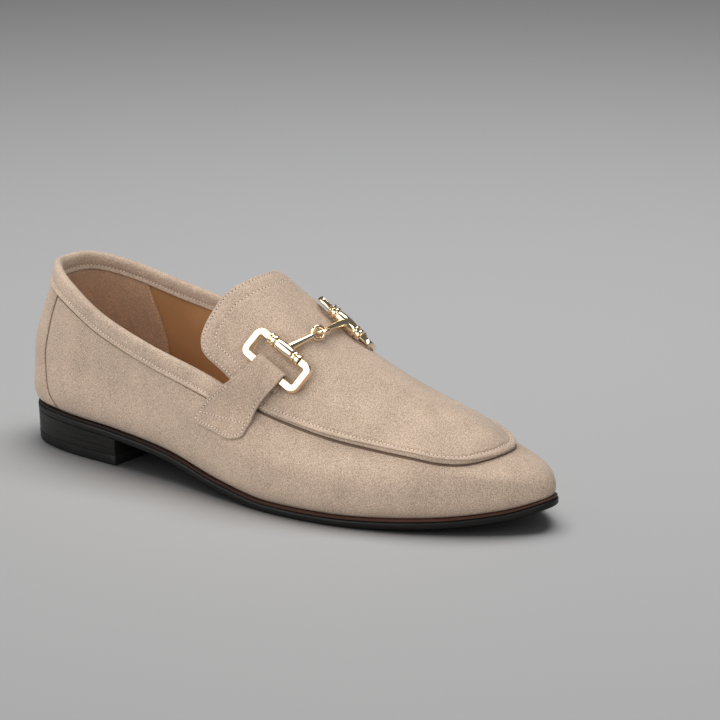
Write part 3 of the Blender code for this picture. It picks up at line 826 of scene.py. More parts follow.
def add_stitches(points, normals, pick=BEIGE, sink=STITCH_SINK, holes=True):
    """A row of short thread beads along a line, with a dark disc of painted needle-hole shade between each
    two where asked.
    """
    even, facing = resample(points, normals, STITCH_PITCH)
    for middle, way, up in zip(even, unit(np.gradient(even, axis=0)), facing):
        side = np.cross(up, way)
        middle = middle - up * sink
        oval = circle(STITCH_SIDES, side * 0.5 * STITCH_WIDTH, up * STITCH_RISE)
        sections = []
        for place, size in STITCH:
            dip = up * STITCH_RISE * STITCH_DIP * abs(place)**3
            sections.append(middle + way * place * 0.5 * STITCH_LENGTH - dip + oval * size)
        add_bead(swept(np.array(sections)), pick)
        # Dark disc standing just proud of the surface: painted shade of a needle hole
        if holes:
            rim = middle + way * 0.5 * STITCH_PITCH + up * (sink + HOLE_PROUD)
            hole = rim + circle(HOLE_SIDES, way, side) * HOLE_RADIUS
            add_bead(swept(np.array([hole, hole - up * HOLE_DEPTH])), DARK)


# Sole, welt and insole

RING = TURN * np.arange(240) / 240
PLATE_COLUMNS = 13

# Outsole's edge from the tread up to the welt: inset, rise over the top of the sole edge
OUTSOLE_EDGE = (
    (1.3, -4.8),
    (0.6, -4.75),
    (0.2, -4.5),
    (0.0, -4.0),
    (0.0, -3.0),
    (0.0, -2.2),
    (0.1, -1.75),
    (0.5, -1.5),
)

# Section of the welt: further inset, rise over the top of the sole edge
WELT_EDGE = (
    (0.3, -1.2),
    (0.0, -0.95),
    (0.0, -0.3),
    (0.25, -0.05),
    (0.7, 0.0),
    (11.0, 0.0),
    (11.0, -1.2),
)

# Edge of the insole with its sock: further inset, rise over the insole's seat
SOCK_EDGE = (
    (0.5, 0.0),
    (0.0, 0.4),
    (0.0, 2.0),
    (0.5, 2.5),
)


def capped_ring(profile):
    """Closed plate in the sole's outline: profile is (inset, rise) from the low rim to the high one."""
    rings = [sole_ring(RING, inset, rise) for inset, rise in profile]
    points = [np.stack(rings, 1).reshape(-1, 3)]
    faces = grid_faces(len(RING), len(profile), 0, True)
    start = len(RING) * len(profile)
    half = len(RING) // 2
    across = np.linspace(0.0, 1.0, PLATE_COLUMNS)[:, None]
    for ring, rise in ((rings[0], profile[0][1]), (rings[-1], profile[-1][1])):
        lateral = ring[:half + 1]
        medial = np.roll(ring[::-1], 1, axis=0)[:half + 1]
        rows = lateral[:, None] + (medial - lateral)[:, None] * across[None]
        rows[..., 2] = tread(rows[..., 0]) + rise
        points.append(rows.reshape(-1, 3))
        faces += grid_faces(half + 1, PLATE_COLUMNS, start)
        start += (half + 1) * PLATE_COLUMNS
    points, faces, _ = weld(np.concatenate(points), faces)
    return points, faces


def build_outsole():
    solid = capped_ring(OUTSOLE_EDGE)
    on_edge = len(RING) * (len(OUTSOLE_EDGE) - 1)
    picks = np.arange(len(solid[1])) >= on_edge
    make("outsole_edge", solid, (SOLE_BLACK, TREAD_BLACK), ("outsole",), picks)


def build_welt():
    sections = [sole_ring(RING, WELT_INSET + inset, rise) for inset, rise in WELT_EDGE]
    make("welt_edge", swept(np.stack(sections, 1), True), (WELT_BROWN,), ("welt",), sharp=40)


def build_insole():
    seat = 2.0 * GAP + WALL
    profile = [(INSOLE_INSET + inset, seat + rise) for inset, rise in SOCK_EDGE]
    make("insole_sock", capped_ring(profile), (SOCK,), ("insole",))


# Heel

HEEL_STEPS = 97
BREAST_STEPS = 15

# Side of one lift: share of the lift's height, further inset
LIFT_SIDE = (
    (0.06, 0.0),
    (0.5, -0.05),
    (0.91, 0.0),
    (1.0, 0.05),
)

# Side of the top piece: height, further inset
TOP_PIECE_SIDE = (
    (0.0, 0.9),
    (0.12, 0.35),
    (0.6, 0.0),
    (4.7, -0.05),
    (TOP_PIECE, 0.3),
)


def heel_outline(inset):
    """Heel in plan: round the back from the lateral breast corner to the medial one, then the breast."""
    limit = float(angle_of(HEEL_BREAST / LENGTH))
    back = sole_ring(np.linspace(limit, -limit, HEEL_STEPS), inset, 0.0)[:, :2]
    back[:, 0] = np.minimum(back[:, 0], HEEL_BREAST - 0.5 * inset)
    front = back[-1] + (back[0] - back[-1]) * np.linspace(0.0, 1.0, BREAST_STEPS)[1:-1, None]
    return np.concatenate([back, front])


def heel_block(levels):
    """Closed heel solid: each level is (share of the way up to the seat, height over it, inset)."""
    sections = []
    for share, height, inset in levels:
        plan = heel_outline(inset)
        seat = tread(plan[:, 0]) - SOLE_EDGE - LIFT_LINE
        z = height + (seat - height) * share
        sections.append(np.concatenate([plan, z[:, None]], 1))
    return swept(np.array(sections))


def build_heel():
    low = TOP_PIECE + LIFT_LINE
    high_inset, low_inset = HEEL_TAPER
    levels = [(0.0, low, low_inset + LIFT_CHAMFER)]
    for lift in range(LIFTS):
        for part, groove in LIFT_SIDE:
            share = (lift + part) / LIFTS
            inset = low_inset + (high_inset - low_inset) * share
            levels.append((share, low, inset + groove - LIFT_PROUD))
    make("heel_lifts", heel_block(levels), (HEEL_BLACK,), ("heel_stack",), sharp=50)
    levels = [(0.0, height, low_inset - LIFT_PROUD + inset) for height, inset in TOP_PIECE_SIDE]
    make("heel_rubber", heel_block(levels), (TOP_RUBBER,), ("heel_top_piece",), sharp=50)


# Upper, with its lining side

UPPER_STEPS = 320
LOWER_ROWS = 9
UPPER_ROWS = 31
LID_COLUMNS = 41

# Creases of the wall: angle round the shoe in degrees, height share, width in degrees, tallness, depth out
CREASES = (
    (70.0, 0.55, 5.0, 0.22, -0.5),
    (77.0, 0.50, 4.0, 0.25, 0.35),
    (104.0, 0.62, 4.0, 0.20, -0.35),
    (112.0, 0.60, 5.0, 0.22, 0.3),
    (290.0, 0.55, 5.0, 0.22, -0.5),
    (283.0, 0.50, 4.0, 0.25, 0.35),
    (256.0, 0.62, 4.0, 0.20, -0.35),
)


def creases(phi, s):
    """Soft troughs and ridges of the wall, in millimetres out of the wall."""
    out = np.zeros(np.broadcast(phi, s).shape)
    for angle, share, wide, tall, depth in CREASES:
        gap = np.mod(phi - math.radians(angle) + np.pi, TURN) - np.pi
        out += depth * hump(0.0, math.radians(wide), gap) * hump(share, tall, s)
    return out


def build_upper():
    turn = TURN * np.arange(UPPER_STEPS) / UPPER_STEPS
    lower = np.linspace(0.0, BELLY_SHARE, LOWER_ROWS)[:-1]
    shares = np.concatenate([lower, np.linspace(BELLY_SHARE, 1.0, UPPER_ROWS)])
    margin = sole_ring(turn, FEATHER_INSET + LASTING_MARGIN, GAP)
    phi = turn[:, None]
    s = shares[None, :]
    side = wall(phi, s) + wall_out(phi, s) * creases(phi, s)[..., None]
    side[:, -1] = wall(turn, 1.0)
    sheet = np.concatenate([margin[:, None], side], 1)
    columns = sheet.shape[1]
    faces = grid_faces(UPPER_STEPS, columns, 0, True)
    throat = round(UPPER_STEPS * THROAT_ANGLE / TURN)
    rows = turn[throat:UPPER_STEPS // 2 + 1]
    cover = lid(share_of(lead(rows))[:, None], np.linspace(-1.0, 1.0, LID_COLUMNS)[None, :])
    faces += grid_faces(len(rows), LID_COLUMNS, UPPER_STEPS * columns)
    points, faces, _ = weld(np.concatenate([sheet.reshape(-1, 3), cover.reshape(-1, 3)]), faces)
    solid = thicken(points, faces, -WALL, 0.0)
    make("upper_suede", solid, (SUEDE, LINING), ("upper",), lined(solid, faces))


# Counter

COUNTER_ROWS = 61
COUNTER_COLUMNS = 36
COUNTER_ROOM = 0.6
COUNTER_ROUND = 0.35


def build_counter():
    turn = np.linspace(-1.0, 1.0, COUNTER_ROWS)
    low = COUNTER[0][0]
    bound = wall_down(turn * math.radians(COUNTER[-1][1]), BINDING_DEPTH + COUNTER_ROOM)
    s = low + (bound[:, None] - low) * np.linspace(0.0, 1.0, COUNTER_COLUMNS)[None, :]
    edge = np.radians(smooth(column(COUNTER, 0), column(COUNTER, 1), s))
    points = wall(turn[:, None] * edge, s).reshape(-1, 3)
    high = np.full(s.shape, GAP + COUNTER_THICK)
    high[[0, -1]] -= COUNTER_ROUND
    solid = thicken(points, grid_faces(*s.shape), GAP, high)
    make("counter_suede", solid, (SUEDE,), ("counter",))


# Heel grip: angles where its front edge meets the topline and the sole, in degrees, and its lowest share
GRIP_TOP = 46.5
GRIP_LOW = 52.5
GRIP_FOOT = 0.12
GRIP_UNDER_BINDING = 1.0
GRIP_ROWS = 121
GRIP_COLUMNS = 30

# Heel grip's two faces and its stitches, in from the lining
GRIP_BACK = 0.05
GRIP_FACE = 0.55
GRIP_STITCH = 0.65


def build_heel_grip():
    s = np.linspace(GRIP_FOOT, 1.0, GRIP_COLUMNS)
    front = np.radians(GRIP_LOW + (GRIP_TOP - GRIP_LOW) * s)
    phi = np.linspace(-1.0, 1.0, GRIP_ROWS)[:, None] * front[None, :]
    tops = wall_down(phi[:, -1], BINDING_DEPTH - GRIP_UNDER_BINDING)
    climb = (s[None, :] - GRIP_FOOT) / (1.0 - GRIP_FOOT)
    shares = GRIP_FOOT + (tops[:, None] - GRIP_FOOT) * climb
    points = wall(phi, shares)
    faces = turned(grid_faces(*shares.shape))
    solid = thicken(points.reshape(-1, 3), faces, WALL + GRIP_BACK, WALL + GRIP_FACE)
    make("heel_grip", solid, (GRIP_SUEDE,))
    normals = -wall_out(phi, shares)
    for edge in (1, GRIP_ROWS - 2):
        row = points[edge] + normals[edge] * (WALL + GRIP_STITCH)
        add_stitches(row, normals[edge], TAN, 0.0, False)


# Collar binding and the dark lines of painted shadow under cut edges

BINDING_ROWS = 271
BINDING_TOP = -1.2
BINDING_BLEND = 4.0
BINDING_THINNING = 0.6
BINDING_GROOVE = 6
FOLD_DEPTH = 4.5

# Binding's outer half: depth below the topline and distance out of the wall, from the low edge up
BINDING = (
    (9.0, 0.3),
    (9.3, 0.7),
    (9.3, 1.25),
    (8.9, 1.65),
    (8.3, 1.7),
    (7.6, 1.2),
    (7.0, 0.85),
    (6.4, 1.05),
    (5.6, 1.3),
    (4.2, 1.4),
    (2.6, 1.4),
    (1.2, 1.3),
    (0.2, 1.05),
    (-0.6, 0.5),
    (-1.05, -0.15),
)

# Dark line of painted shadow: its two faces out of the wall, rows, and its depths below the binding's edge
# and the apron's
LINE_SHEET = (0.02, 0.12)
LINE_ROWS = 4
BINDING_LINE = (0.1, 1.8)
BINDING_LINE_LESS = 0.9
BINDING_LINE_ANGLES = (math.radians(55.0), math.radians(80.0))
APRON_LINE = (0.4, 2.0)
APRON_LINE_STEPS = 241


def wall_strip(phi, top, low):
    """Thin ribbon on the wall between two depths below the topline."""
    s = np.stack([wall_down(phi, depth) for depth in np.linspace(low, top, LINE_ROWS)], 1)
    points = wall(phi[:, None], s).reshape(-1, 3)
    return thicken(points, grid_faces(*s.shape), *LINE_SHEET)


def binding_profile():
    """Closed section of the binding: outer half, top, inner half and the fold round the wall's edge."""
    shift = BINDING_DEPTH - BINDING_INSIDE
    inside = []
    for depth, out in reversed(BINDING):
        inside.append((depth - shift * ease(0.0, BINDING_BLEND, depth), -WALL - out))
    over = [(-GAP, -WALL), (-GAP, 0.0)]
    fold = [(FOLD_DEPTH, -WALL - GAP), (0.0, -WALL - GAP), *over, (0.0, GAP), (FOLD_DEPTH, GAP)]
    return [*BINDING, (BINDING_TOP, -0.5 * WALL), *inside, *fold]


def build_binding():
    phi = np.linspace(-BINDING_END, BINDING_END, BINDING_ROWS)
    thin = 1.0 - BINDING_THINNING * ease(BINDING_ANGLE, BINDING_END, np.abs(phi))
    near_top = 0.97
    up = unit(wall(phi, 1.0) - wall(phi, near_top)) * thin[:, None]
    sections = []
    for depth, out in binding_profile():
        s = wall_down(phi, max(depth, 0.0))
        outward = np.where(out > 0.0, out * thin, -WALL + (out + WALL) * thin)
        sections.append(wall(phi, s) + wall_out(phi, s) * outward[:, None] + up * max(-depth, 0.0))
    sections = np.stack(sections, 1)
    make("binding_suede", swept(sections), (SUEDE,), ("collar_binding",))
    top, low = BINDING_LINE
    low = low - BINDING_LINE_LESS * ease(*BINDING_LINE_ANGLES, np.abs(phi))
    # Dark ribbon on the wall just under the binding's lip: a painted shadow line
    line = wall_strip(phi, BINDING_DEPTH + top, BINDING_DEPTH + low)
    make("binding_edge_line", line, (PAINTED_SEAM_SHADE,))
    facing = wall_out(phi, wall_down(phi, BINDING[BINDING_GROOVE][0]))
    add_stitches(sections[:, BINDING_GROOVE], facing)
    add_stitches(sections[:, 2 * len(BINDING) - BINDING_GROOVE], -facing)


# Apron and tongue

EDGE_COLUMNS = 60
TONGUE_ROWS = 70
SEAM_ROWS = 150
EDGE_CROWDING = 1.4
TONGUE_CROWDING = 1.6
TONGUE_RIM = (1.02, 1.04)
APRON_DROP = 0.3
CORNER_STEP = 0.5
CORNER_REACH = 9.0
CORNER_FADE = 25.0
OUTLINE_STEPS = 6
SEAM_BLEND = 8

# Edge of the suede: width of its rounded rim and how far it falls, on the tongue and added at the seam
RIM = (1.5, 0.5)
RIM_FALL = (1.0, 0.4)

# Stitch rows: distance from the outline, and the groove that each one lies in
TONGUE_STITCHES = (1.7, 8.2)
SEAM_STITCH = 3.6
GROOVE_WIDTH = 0.65
SEAM_GROOVE = 0.5
TONGUE_GROOVE = 0.3

# Rolled seam and soft padding
ROLL_RISE = 0.9
ROLL_WIDTH = 4.0
ROLL_START = 0.4
PAD_RISE = 0.45
PAD_REACH = 9.0
TONGUE_PAD = 0.3
TONGUE_PAD_SPAN = (2.0, 5.0)


def apron_grid():
    """Points of the apron and tongue on the lid: rows from the tongue's top to the tip, columns across."""
    half = 1.0 - np.linspace(0.0, 1.0, EDGE_COLUMNS + 1)**EDGE_CROWDING
    across = np.concatenate([-half, half[-2::-1]])
    near, far = TONGUE_RIM
    spread = np.concatenate([(-far, -near), across, (near, far)])
    tuck = np.where(spread < 0.0, TONGUE_TUCK["lateral"], TONGUE_TUCK["medial"])
    throat = float(share_of(lead(THROAT_ANGLE)))
    rows = []
    for t in np.linspace(0.0, 1.0, TONGUE_ROWS + 1)[:-1]**TONGUE_CROWDING:
        share = TONGUE_TOP + (throat - TONGUE_TOP) * t
        fade = max(0.0, (TONGUE_ROOT - share) / (TONGUE_ROOT - TONGUE_TOP))
        drawn = (1.0 - fade)**3 * (1.0 - ease(TONGUE_ROOT, throat, share))
        used = spread * float(apron_reach(share)) * (1.0 - tuck * drawn)
        rows.append(lid(share - TONGUE_BOW * fade * used**2, used))
    for phi in np.linspace(THROAT_ANGLE, np.pi, SEAM_ROWS):
        inner = lid(share_of(lead(phi)), across)
        ends = []
        for edge, angle in ((inner[0], phi), (inner[-1], TURN - phi)):
            out = np.array((*sole_out(np.array(angle)), -APRON_DROP)) * APRON_OVERHANG
            ends.append((edge + 0.5 * out, edge + out))
        rows.append(np.concatenate([ends[0][::-1], inner, ends[1]]))
    return np.array(rows)


def rounded_corners(grid):
    """Rounds the tongue's two top corners: its outline is smoothed and the sheet close to it follows."""
    outline = np.concatenate([grid[TONGUE_ROWS::-1, 0], grid[0, 1:], grid[1:TONGUE_ROWS + 1, -1]])
    length = lengths(outline)
    fine = np.arange(0.0, length[-1], CORNER_STEP)
    reach = np.arange(-CORNER_REACH, CORNER_REACH + CORNER_STEP, CORNER_STEP)
    weights = hump(0.0, 0.5 * CORNER_REACH, reach)
    moved = np.zeros_like(outline)
    for k in range(3):
        line = np.interp(fine, length, outline[:, k])
        padded = np.pad(line, len(reach) // 2, mode="reflect", reflect_type="odd")
        soft = np.convolve(padded, weights / weights.sum(), mode="valid")
        moved[:, k] = np.interp(length, fine, soft[:len(fine)] - line)
    moved *= (ease(0.0, CORNER_FADE, length) * ease(0.0, CORNER_FADE, length[-1] - length))[:, None]
    tree = tree_of(outline)
    shaped = grid.copy()
    for place in np.ndindex(TONGUE_ROWS + 1, grid.shape[1]):
        _, index, distance = tree.find(grid[place])
        shaped[place] = grid[place] + moved[index] * hump(0.0, CORNER_REACH, distance)
    return shaped


def edge_field(grid):
    """Distance of each point from the outline, and 1 where the nearest outline is the seam, else 0."""
    outline = np.concatenate([grid[::-1, 0], grid[0, 1:], grid[1:, -1]])
    seam = ease(TONGUE_ROWS - SEAM_BLEND, TONGUE_ROWS + SEAM_BLEND, np.arange(len(grid)))
    seam = np.concatenate([seam[::-1], np.zeros(grid.shape[1] - 1), seam[1:]])
    fine_seam = refined(seam[:, None], OUTLINE_STEPS)[:, 0]
    tree = tree_of(refined(outline, OUTLINE_STEPS))
    found = [tree.find(point) for point in grid.reshape(-1, 3)]
    distance = np.array([one[2] for one in found])
    near_seam = fine_seam[[one[1] for one in found]]
    return distance.reshape(grid.shape[:2]), near_seam.reshape(grid.shape[:2])


def apron_height(distance, seam):
    """Height of the suede over the lid: rounded rim, rolled seam with its stitch groove, padded middle."""
    edge = rim_share(distance, RIM[0] + RIM[1] * seam)
    round_off = (RIM_FALL[0] + RIM_FALL[1] * seam) * (1.0 - edge)
    roll = ROLL_RISE * np.sin(np.pi * np.clip((distance + ROLL_START) / ROLL_WIDTH, 0.0, 1.0))
    groove = SEAM_GROOVE * hump(SEAM_STITCH, GROOVE_WIDTH, distance)
    pad = PAD_RISE * ease(SEAM_STITCH, SEAM_STITCH + PAD_REACH, distance)
    on_tongue = TONGUE_PAD * ease(*TONGUE_PAD_SPAN, distance)
    for row in TONGUE_STITCHES:
        on_tongue = on_tongue - TONGUE_GROOVE * hump(row, GROOVE_WIDTH, distance)
    return APRON_LIFT - round_off + (roll - groove + pad) * seam + on_tongue * (1.0 - seam)


def contour(points, normals, field, level, keep, middle):
    """Line on a grid where a field has a level, in order by its angle round a middle row and column."""
    size = np.array(field.shape, float)
    cells = np.stack(np.indices(field.shape), -1) / size
    values = np.concatenate([points, normals, cells], -1)
    found = []
    for axis in (0, 1):
        first = tuple(slice(0, -1) if k == axis else slice(None) for k in (0, 1))
        second = tuple(slice(1, None) if k == axis else slice(None) for k in (0, 1))
        a = field[first]
        b = field[second]
        crossing = ((a - level) * (b - level) < 0.0) & keep[first] & keep[second]
        t = ((level - a) / np.where(crossing, b - a, 1.0))[crossing][:, None]
        found.append(values[first][crossing] * (1.0 - t) + values[second][crossing] * t)
    found = np.concatenate(found)
    away = found[:, 6:] - np.array(middle) / size
    found = found[np.argsort(np.arctan2(away[:, 1], away[:, 0]))]
    gaps = np.linalg.norm(np.diff(found[:, :3], axis=0, append=found[:1, :3]), axis=1)
    found = np.roll(found, -int(np.argmax(gaps)) - 1, axis=0)
    return found[:, :3], found[:, 3:6]


def build_apron():
    grid = rounded_corners(apron_grid())
    rows, columns = grid.shape[:2]
    distance, seam = edge_field(grid)
    points, faces, index = weld(grid.reshape(-1, 3), grid_faces(rows, columns))
    high = np.zeros(len(points))
    high[index] = apron_height(distance, seam).reshape(-1)
    solid = thicken(points, faces, np.full(len(points), GAP), high)
    make("apron_suede", solid, (SUEDE, LINING), ("apron",), lined(solid, faces))
    # Dark ribbon on the wall just under the apron's overhanging edge: a painted shadow line
    under_edge = np.linspace(THROAT_ANGLE, TURN - THROAT_ANGLE, APRON_LINE_STEPS)
    make("apron_edge_line", wall_strip(under_edge, *APRON_LINE), (PAINTED_SEAM_SHADE,))
    normals = point_normals(points, faces)
    top = (points + normals * high[:, None])[index].reshape(grid.shape)
    facing = normals[index].reshape(grid.shape)
    row_of = np.indices(distance.shape)[0]
    # Each row of stitches: its distance, where it runs, and the row of points that it goes round
    lines = [(SEAM_STITCH, row_of > TONGUE_ROWS + 2, TONGUE_ROWS + 10)]
    lines += [(level, row_of < TONGUE_ROWS - 2, TONGUE_ROWS - 5) for level in TONGUE_STITCHES]
    for level, keep, middle_row in lines:
        add_stitches(*contour(top, facing, distance, level, keep, (middle_row, columns // 2)))


# Straps

# Rows of a strap's points: low end, wall, rise to the bar, fold over it and tail under it
STRAP_ROWS = {"end": 14, "wall": 13, "rise": 12, "fold": 17, "tail": 6}
STRAP_COLUMNS = 33
STRAP_CROWDING = 1.6
STRAP_TIP = 0.02
STRAP_HANDLES = (0.4, 0.35)
STRAP_TAIL = (1.0, 6.5)

# Strap's rounded rim, its least thickness there as a share, and its stitches: distance, groove, box line
STRAP_RIM = 0.6
STRAP_RIM_LEAST = 0.25
STRAP_STITCH = 1.6
STRAP_GROOVE = 0.15
STRAP_GROOVE_WIDTH = 0.6
STRAP_BOX_ROW = 17
STRAP_BOX_INSET = 5
STRAP_TOP_ROW = 30
STRAP_MIDDLE_ROW = 24
STRAP_OUTLINE_STEPS = 5


def link_frame(side):
    """Bar's middle, direction along the bar, direction to the barrel and direction away from the shoe."""
    bar, along, across = (np.array(value) for value in LINKS["lateral" if side < 0 else "medial"])
    along = unit(along)
    across = unit(across - along * np.dot(across, along))
    away = np.cross(along, across) * -side
    return bar, along, across, away


def strap_on_wall(side, j):
    """Line up the wall from the strap's rounded low end, for one place across it."""
    knots = column(STRAP, 0)
    low = knots[0] + STRAP_END * np.linspace(0.0, 1.0, STRAP_ROWS["end"])**STRAP_CROWDING
    heights = np.concatenate([low, np.linspace(low[-1], knots[-1], STRAP_ROWS["wall"])[1:]])
    centre, half, stand_off = (smooth(knots, column(STRAP, k), heights) for k in (1, 2, 3))
    rounding = 1.0 - np.clip((knots[0] + STRAP_END - heights) / STRAP_END, 0.0, 1.0)**3
    half = half * np.maximum(rounding, STRAP_TIP)**(1.0 / 3.0)
    turn = np.radians(centre + half * j + (0.0 if side < 0 else STRAP_MEDIAL_LEAD))
    phi = turn if side < 0 else TURN - turn
    s = wall_at_height(phi, heights - STRAP_SLOPE * j)
    return wall(phi, s) + wall_out(phi, s) * (stand_off + 0.5 * STRAP_THICK)[:, None]


def strap_line(side, j):
    """Middle line of the strap for one place across it, from its low end over the bar and back under."""
    bar, along, across, away = link_frame(side)
    line = strap_on_wall(side, j)
    on_bar = bar + along * STRAP_HALF * j
    reach = LINK_WIDE + 2.5 * GAP + 0.5 * STRAP_THICK
    deep = LINK_DEEP + 2.0 * GAP + 0.5 * STRAP_THICK
    start = line[-1]
    meet = on_bar + away * deep
    leaving, arriving = np.linalg.norm(meet - start) * np.array(STRAP_HANDLES)
    ends = (start, start + unit(line[-1] - line[-2]) * leaving, meet - across * arriving, meet)
    rise = bezier(ends, np.linspace(0.0, 1.0, STRAP_ROWS["rise"])[1:-1])
    fold = np.linspace(0.0, np.pi, STRAP_ROWS["fold"])[:, None]
    over = on_bar + away * deep * np.cos(fold) + across * reach * np.sin(fold)
    under = on_bar - away * deep - across * np.linspace(*STRAP_TAIL, STRAP_ROWS["tail"])[:, None]
    return np.concatenate([line, rise, over, under])


def build_strap(word, side):
    places = np.sin(np.linspace(-0.5, 0.5, STRAP_COLUMNS) * np.pi)
    grid = np.array([strap_line(side, j) for j in places])
    shape = grid.shape[:2]
    points = grid.reshape(-1, 3)
    faces = grid_faces(*shape) if side < 0 else turned(grid_faces(*shape))
    outline = np.concatenate([grid[0, ::-1], grid[1:, 0], grid[-1, 1:]])
    tree = tree_of(refined(outline, STRAP_OUTLINE_STEPS))
    distance = np.array([tree.find(point)[2] for point in points])
    rim = STRAP_RIM_LEAST + (1.0 - STRAP_RIM_LEAST) * rim_share(distance, STRAP_RIM)
    half = 0.5 * STRAP_THICK * rim
    lift = half - STRAP_GROOVE * hump(STRAP_STITCH, STRAP_GROOVE_WIDTH, distance)
    solid = thicken(points, faces, -half, lift)
    make("strap_suede_" + word, solid, (STRAP_SUEDE,), ("strap_" + word,))
    normals = point_normals(points, faces)
    top = (points + normals * lift[:, None]).reshape(grid.shape)
    facing = normals.reshape(grid.shape)
    low = np.indices(shape)[1] < STRAP_TOP_ROW
    middle = (STRAP_COLUMNS // 2, STRAP_MIDDLE_ROW)
    add_stitches(*contour(top, facing, distance.reshape(shape), STRAP_STITCH, low, middle))
    box = slice(STRAP_BOX_INSET, STRAP_COLUMNS - STRAP_BOX_INSET)
    add_stitches(top[box, STRAP_BOX_ROW], facing[box, STRAP_BOX_ROW])


# Snaffle bit

LINK_SHOULDER = 0.2
LINK_EDGE = 0.25
BARREL_SIDES = 40
STEM_ROWS = 15
STEM_SIDES = 24
LOOP_STEPS = 40
LOOP_SIDES = 16
BIT_SHARP = 35.0


def link_path():
    """Middle line of a link in its own plane, along and across the bar, with rounded corners."""
    end = BARREL_HALF + GAP
    half = LINK_HALF - LINK_CORNER
    far = LINK_REACH - LINK_CORNER
    # Middle of each corner along and across the bar, and the angle where its arc starts
    corners = ((-half, far, 90.0), (-half, LINK_CORNER, 180.0), (half, LINK_CORNER, 270.0), (half, far, 0.0))
    path = [(-end, LINK_REACH)]
    for u, v, first in corners:
        for turn in np.radians(first + np.linspace(0.0, 90.0, 10)):
            path.append((u + LINK_CORNER * math.cos(turn), v + LINK_CORNER * math.sin(turn)))
    path.append((end, LINK_REACH))
    return np.array(path)


def build_link(word, side):
    bar, along, across, away = link_frame(side)
    path = link_path()
    face = LINK_WIDE - LINK_SLOPE
    proud = LINK_DEEP + LINK_PROUD
    low = LINK_DEEP - LINK_SLOPE
    # Flat bar with sloping sides: across the bar, away from the shoe
    right = ((LINK_WIDE, -low), (LINK_WIDE, LINK_SHOULDER), (face, proud))
    left = ((-face, proud), (-LINK_WIDE, LINK_SHOULDER), (-LINK_WIDE, -low))
    outline = (*right, *left, (-face, -LINK_DEEP), (face, -LINK_DEEP))
    sections = []
    for (u, v), way in zip(path, unit(np.gradient(path, axis=0))):
        point = bar + along * u + across * v
        side_way = along * way[1] - across * way[0]
        sections.append([point + side_way * a + away * b for a, b in outline])
    thing = make("bit_link_" + word, swept(np.array(sections)), (GOLD,), ("bit_ring_" + word,))
    soft = thing.modifiers.new("rounded edges", "BEVEL")
    soft.width = LINK_EDGE * MM
    soft.segments = 3
    soft.limit_method = "ANGLE"
    soft.angle_limit = math.radians(30.0)
    soft.harden_normals = True


def join(body, solid):
    """Unites a solid with a piece of the bit."""
    other = make("bit_join", solid, (GOLD,))
    step = body.modifiers.new("join", "BOOLEAN")
    step.operation = "UNION"
    step.solver = "EXACT"
    step.object = other
    bpy.context.view_layer.update()
    evaluated = body.evaluated_get(bpy.context.evaluated_depsgraph_get())
    joined = bpy.data.meshes.new_from_object(evaluated)
    body.modifiers.clear()
    body.data = joined
    bpy.data.objects.remove(other)


def mirrored(rows, index, sign):
    """A column of a half profile, carried on to the other half."""
    half = column(rows, index)
    return np.concatenate([sign * half[:0:-1], half])


def build_bit(word, side):
    bar, along, across, _ = link_frame(side)
    middle = bar + across * LINK_REACH
    places = mirrored(BARREL, 0, -1.0) * BARREL_HALF
    barrel = tube(middle + along * places[:, None], mirrored(BARREL, 1, 1.0), BARREL_SIDES)
    inward = unit(BIT_CENTRE - middle)
    loop_middle = BIT_CENTRE - inward * 0.5 * LOOP_RADIUS
    end = loop_middle - inward * LOOP_RADIUS
    t = np.linspace(0.0, 1.0, STEM_ROWS)
    radii = smooth(column(STEM, 0), column(STEM, 1), t)
    stem = tube(middle + (end - middle) * t[:, None], radii, STEM_SIDES)
    flat_way = unit(along - inward * np.dot(along, inward))
    tilt = math.radians(LOOP_TILT)
    other = flat_way * math.cos(tilt) + unit(np.cross(inward, flat_way)) * math.sin(tilt)
    ring = loop_middle + LOOP_RADIUS * circle(LOOP_STEPS, inward, other)
    loop = tube(ring, np.full(LOOP_STEPS, LOOP_WIRE), LOOP_SIDES, True)
    nodes = ("bit_bar_" + word,)
    body = make("bit_bar_polished_" + word, barrel, (GOLD,), nodes, sharp=BIT_SHARP)
    for solid in (stem, loop):
        join(body, solid)
    body.data.shade_smooth()
    body.data.set_sharp_from_angle(angle=math.radians(BIT_SHARP))


# Stage: camera, floor, lights

CAMERA = {"azimuth": 36.4, "elevation": 15.8, "roll": 0.73, "distance": 1298.0, "lens": 135.35}
CAMERA_AIM = np.array((150.0, 0.0, 40.0))
CAMERA_RIGHT = 38.1
CAMERA_UP = 17.8
FLOOR_REACH = 6.0
FLOOR_COLOUR = (0.63, 0.63, 0.63)
WORLD_COLOUR = (0.75, 0.75, 0.76, 1.0)
WORLD_STRENGTH = 0.17
LIGHT_AIM = Vector((0.0, 0.0, 0.05))

# Soft boxes: place in metres, size in metres, power in watts
LIGHTS = {
    "overhead": ((-0.10, 0.34, 1.5), (1.4, 1.0), 18.0),
    "front": ((-0.75, -1.5, 1.1), (3.4, 2.1), 45.0),
    "right": ((1.4, -0.7, 0.7), (0.8, 1.2), 8.5),
}


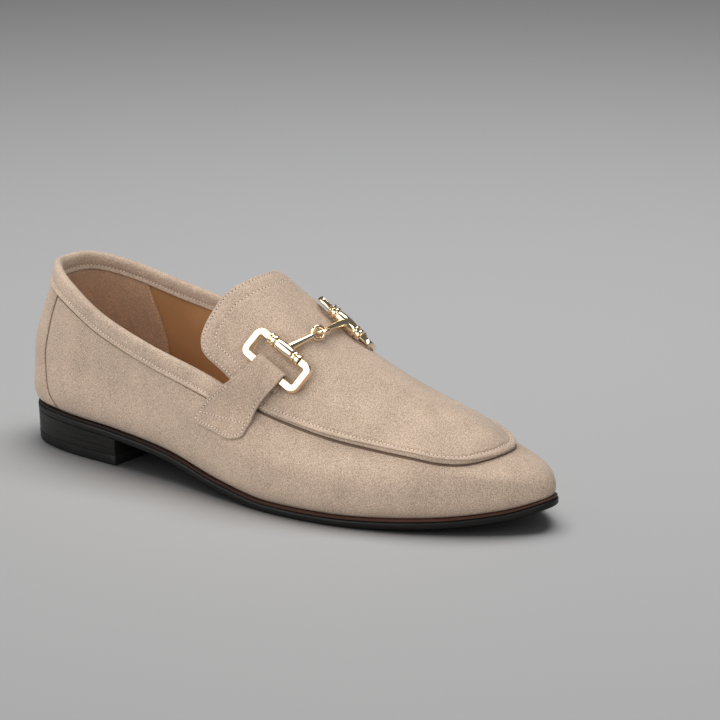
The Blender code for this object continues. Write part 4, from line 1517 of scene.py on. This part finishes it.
def build_camera():
    azimuth, elevation, roll = (math.radians(CAMERA[word]) for word in ("azimuth", "elevation", "roll"))
    flat = math.cos(elevation)
    back = np.array((math.sin(azimuth) * flat, -math.cos(azimuth) * flat, math.sin(elevation)))
    level = np.array((math.cos(azimuth), math.sin(azimuth), 0.0))
    above = np.cross(back, level)
    right = level * math.cos(roll) - above * math.sin(roll)
    up = level * math.sin(roll) + above * math.cos(roll)
    place = CAMERA_AIM + right * CAMERA_RIGHT + up * CAMERA_UP + back * CAMERA["distance"]
    data = bpy.data.cameras.new("camera")
    data.sensor_width = 36.0
    data.lens = CAMERA["lens"]
    data.clip_start = 0.01
    camera = bpy.data.objects.new("camera", data)
    matrix = Matrix.Identity(4)
    for k, axis in enumerate((right, up, back, (place + SHIFT) * MM)):
        matrix.col[k][:3] = axis
    camera.matrix_world = matrix
    scene.collection.objects.link(camera)
    scene.camera = camera


def build_floor():
    mesh = bpy.data.meshes.new("floor")
    corners = ((-1, -1), (1, -1), (1, 1), (-1, 1))
    mesh.from_pydata([(x * FLOOR_REACH, y * FLOOR_REACH, 0.0) for x, y in corners], [], [range(4)])
    floor = bpy.data.objects.new("floor", mesh)
    shader = Shader("pale_floor", FLOOR_COLOUR, 0.6, Specular_IOR_Level=0.2)
    mesh.materials.append(shader.material)
    scene.collection.objects.link(floor)


def build_lights():
    for name, (place, size, power) in LIGHTS.items():
        data = bpy.data.lights.new(name, "AREA")
        data.shape = "RECTANGLE"
        data.size, data.size_y = size
        data.energy = power
        lamp = bpy.data.objects.new(name, data)
        lamp.location = place
        lamp.rotation_euler = (LIGHT_AIM - Vector(place)).to_track_quat("-Z", "Y").to_euler()
        scene.collection.objects.link(lamp)
    world = bpy.data.worlds.new("studio")
    world.use_nodes = True
    background = world.node_tree.nodes["Background"]
    background.inputs["Color"].default_value = WORLD_COLOUR
    background.inputs["Strength"].default_value = WORLD_STRENGTH
    scene.world = world
    scene.view_settings.view_transform = "Standard"


def fill_shoe_only():
    """Keeps the two fill boxes off the floor, so that the shadow under the sole stays deep."""
    shoe = bpy.data.collections.new("lit by the fill boxes")
    for thing in scene.objects:
        if thing.type == "MESH" and thing.name != "floor":
            shoe.objects.link(thing)
    for name in ("front", "right"):
        bpy.data.objects[name].light_linking.receiver_collection = shoe


build_camera()
build_floor()
build_lights()
build_outsole()
build_welt()
build_insole()
build_heel()
build_upper()
build_counter()
build_heel_grip()
build_binding()
build_apron()
for word, side in (("lateral", -1.0), ("medial", 1.0)):
    build_strap(word, side)
    build_link(word, side)
    build_bit(word, side)
rows_of_stitches = (np.array(stitches["points"]), stitches["faces"])
make("stitches", rows_of_stitches, (THREAD, GRIP_THREAD, NEEDLE_HOLE_SHADE), (), stitches["picks"])
fill_shoe_only()
